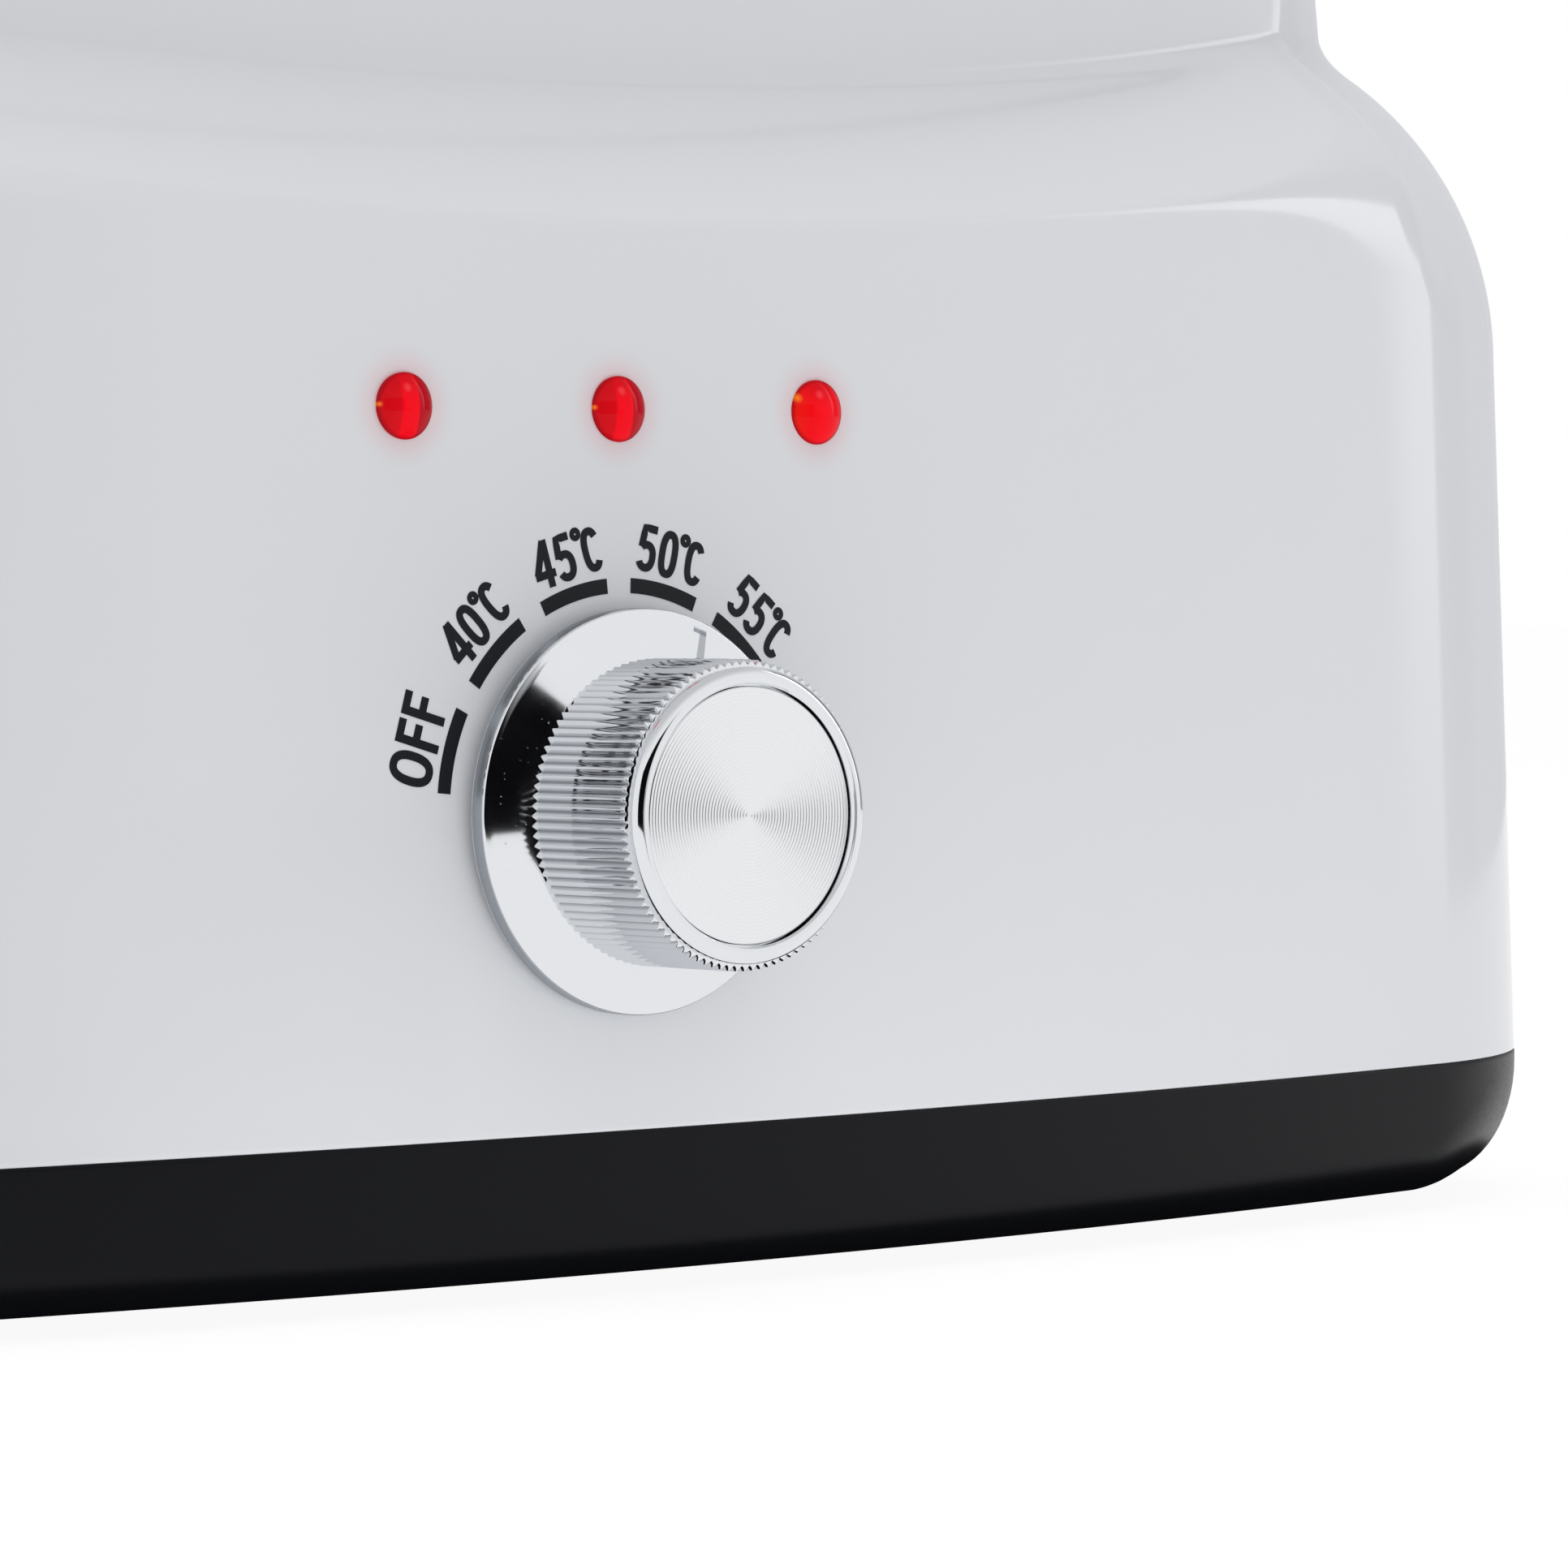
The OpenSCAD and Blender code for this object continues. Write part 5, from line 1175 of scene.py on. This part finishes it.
def soft_box(name, place, target, width, tall, power):
    """A rectangular area lamp turned to its target, not seen itself."""
    lamp = bpy.data.lights.new(name, "AREA")
    lamp.shape = "RECTANGLE"
    lamp.size, lamp.size_y = width, tall
    lamp.energy = power
    obj = put(name, lamp)
    obj.location = place
    obj.rotation_euler = (Vector(target) - Vector(place)).to_track_quat("-Z", "Y").to_euler()
    obj.visible_camera = False
    obj.visible_glossy = False


# Heights of the view direction between which the white turns greyer, and its level overhead.
OVERHEAD_FROM, OVERHEAD_TO, OVERHEAD_LEVEL = 0.45, 0.85, 0.68
# Strength of the floor's glow, its share over the matt white, and half the floor's width in metres.
FLOOR_GLOW, FLOOR_GLOW_SHARE, FLOOR_REACH = 1.04, 0.9, 8.0


class WAXBATH_OT_stage(bpy.types.Operator):
    """Stage: white floor and surroundings, soft boxes, dark cards for the chrome, and the camera"""
    bl_idname = "waxbath.stage"
    bl_label = "Stage"

    def execute(self, context):
        scene, s = context.scene, settings().stage
        scene.view_settings.view_transform = "Standard"
        self.camera(scene, s)
        self.world(scene, s)
        self.floor()
        soft_box("top light", (0.0, -0.12, 1.5), (0.0, -0.1, 0.12), width=1.2, tall=1.2, power=7.6)
        soft_box("floor bounce", (0.05, -0.128, 0.004), (0.05, -0.128, 1.0), width=0.22, tall=0.034,
                 power=0.0072)
        dark = card_light("dark card", [(0.0, "#0B0B0D"), (0.84, "#0B0B0D"), (1.0, "#D8D8DA")])
        grey = card_light("grey card", [(0.0, "#A8ABB0"), (1.0, "#A8ABB0")])
        shade = card_light("shade card", [(0.0, "#8A8D92"), (0.13, "#7C7F84"), (0.24, "#9A9DA2"),
                                          (0.36, "#C6C8CC"), (1.0, "#DEE0E3")])
        bright = card_light("bright strip", [(0.0, "#949494"), (0.05, "#BCBCBC"), (0.09, "#D4D4D4"),
                                             (0.3, "#FFFFFF"), (0.6, "#FFFFFF"), (1.0, "#949494")], 3.5, "Y")
        corner, dial = (0.12, -0.09), dial_axis()[:2]
        stand("front flag", dial, dark, bearing=-4.5, away=0.55, wide=50.0, tall=0.26)
        stand("low flag", dial, grey, bearing=25.0, away=0.60, wide=12.0, tall=0.06)
        stand("corner strip", corner, bright, bearing=68.8, away=1.6, wide=6.4, tall=1.6)
        stand("corner shade", corner, shade, bearing=104.5, away=1.6, wide=63.0, tall=1.6)
        # A painted contact shadow on the floor, for the base's lower edge to mirror.
        self.contact(dark)
        return {"FINISHED"}

    def contact(self, material):
        """A painted contact shadow: a dark band on the floor close round the base, seen only in reflections,
        for its lower edge to mirror.
        """
        body = Body()
        band = rings(body.plan, body.shift, ([mm(12), -mm(7)], [mm(0.2), mm(0.2)]))
        mesh = bpy.data.meshes.new("painted contact shadow")
        fill_mesh(mesh, [shell(band)])
        mirrored_only("painted contact shadow", mesh, material)

    def camera(self, scene, s):
        """Looks along yaw and pitch, with the picture turned by roll about the view."""
        level = math.cos(s.pitch)
        forward = Vector((math.sin(s.yaw) * level, math.cos(s.yaw) * level, -math.sin(s.pitch)))
        right = forward.cross(Vector((0, 0, 1))).normalized()
        up = right.cross(forward)
        c, n = math.cos(s.roll), math.sin(s.roll)
        right, up = right * c + up * n, up * c - right * n
        data = bpy.data.cameras.new("camera")
        data.lens, data.sensor_width, data.clip_start = s.lens, 36.0, 0.01
        obj = put("camera", data)
        turn = Matrix((right, up, -forward)).transposed().to_4x4()
        obj.matrix_world = Matrix.Translation(Vector(s.eye)) @ turn
        scene.camera = obj

    def world(self, scene, s):
        """Even light on the object, and white where the camera, a reflection or glass looks past it.

        Overhead the white is greyer, by a smooth step over the height of the direction."""
        world = bpy.data.worlds.new("white surroundings")
        scene.world = world
        world.use_nodes = True
        tree = world.node_tree
        tree.nodes.clear()
        path = add(tree, "ShaderNodeLightPath").outputs
        seen = most(tree, path["Is Camera Ray"], path["Is Glossy Ray"], path["Is Transmission Ray"])
        toward = add(tree, "ShaderNodeTexCoord").outputs["Generated"]
        up = add(tree, "ShaderNodeSeparateXYZ", {"Vector": toward}).outputs["Z"]
        white = span(tree, up, OVERHEAD_FROM, OVERHEAD_TO, 1.0, OVERHEAD_LEVEL, "SMOOTHSTEP")
        level = span(tree, seen, 0.0, 1.0, s.ambient, white)
        back = add(tree, "ShaderNodeBackground", {"Color": (1, 1, 1, 1), "Strength": level})
        add(tree, "ShaderNodeOutputWorld", {"Surface": back.outputs[0]})

    def floor(self):
        """A wide floor: mostly an even white glow, with a share of matt white that keeps a faint shadow."""
        material, tree = node_material("matt white floor")
        matt = add(tree, "ShaderNodeBsdfDiffuse", {"Color": tint(settings().colours.floor)})
        glow = add(tree, "ShaderNodeEmission", {"Color": (1, 1, 1, 1), "Strength": FLOOR_GLOW})
        mix = add(tree, "ShaderNodeMixShader", {0: FLOOR_GLOW_SHARE, 1: matt.outputs[0], 2: glow.outputs[0]})
        add(tree, "ShaderNodeOutputMaterial", {"Surface": mix.outputs[0]})
        mesh = bpy.data.meshes.new("floor")
        corners = [(sx * FLOOR_REACH, sy * FLOOR_REACH, 0) for sx, sy in SQUARE]
        mesh.from_pydata(corners, [], [(0, 1, 2, 3)])
        mesh.materials.append(material)
        obj = put("floor", mesh)


OPERATORS = (WAXBATH_OT_inner_parts, WAXBATH_OT_housing, WAXBATH_OT_base, WAXBATH_OT_tank, WAXBATH_OT_lid,
             WAXBATH_OT_dial, WAXBATH_OT_lenses, WAXBATH_OT_scale, WAXBATH_OT_inlet, WAXBATH_OT_stage)


class WAXBATH_PT_panel(bpy.types.Panel):
    """Lists the pieces of the wax bath and its settings"""
    bl_idname = "WAXBATH_PT_panel"
    bl_label = "Wax bath"
    bl_space_type = "VIEW_3D"
    bl_region_type = "UI"
    bl_category = "Wax bath"

    def draw(self, context):
        layout = self.layout
        for operator in OPERATORS:
            layout.operator(operator.bl_idname)
        for title in ("shell", "dial", "scale", "colours", "stage"):
            group = getattr(context.scene.wax_bath, title)
            part = layout.box()
            part.label(text=title.capitalize())
            for name in group.bl_rna.properties.keys():
                if name not in ("rna_type", "name"):
                    part.prop(group, name)


CLASSES = (WaxBathShell, WaxBathDial, WaxBathScale, WaxBathColours, WaxBathStage, WaxBathSettings,
           *OPERATORS, WAXBATH_PT_panel)


def register():
    for cls in CLASSES:
        bpy.utils.register_class(cls)
    bpy.types.Scene.wax_bath = bpy.props.PointerProperty(type=WaxBathSettings)


def unregister():
    del bpy.types.Scene.wax_bath
    for cls in reversed(CLASSES):
        bpy.utils.unregister_class(cls)


def main():
    """Builds every piece in order."""
    register()
    make_finishes()
    for operator in OPERATORS:
        group, name = operator.bl_idname.split(".")
        getattr(getattr(bpy.ops, group), name)()


if __name__ == "__main__":
    main()
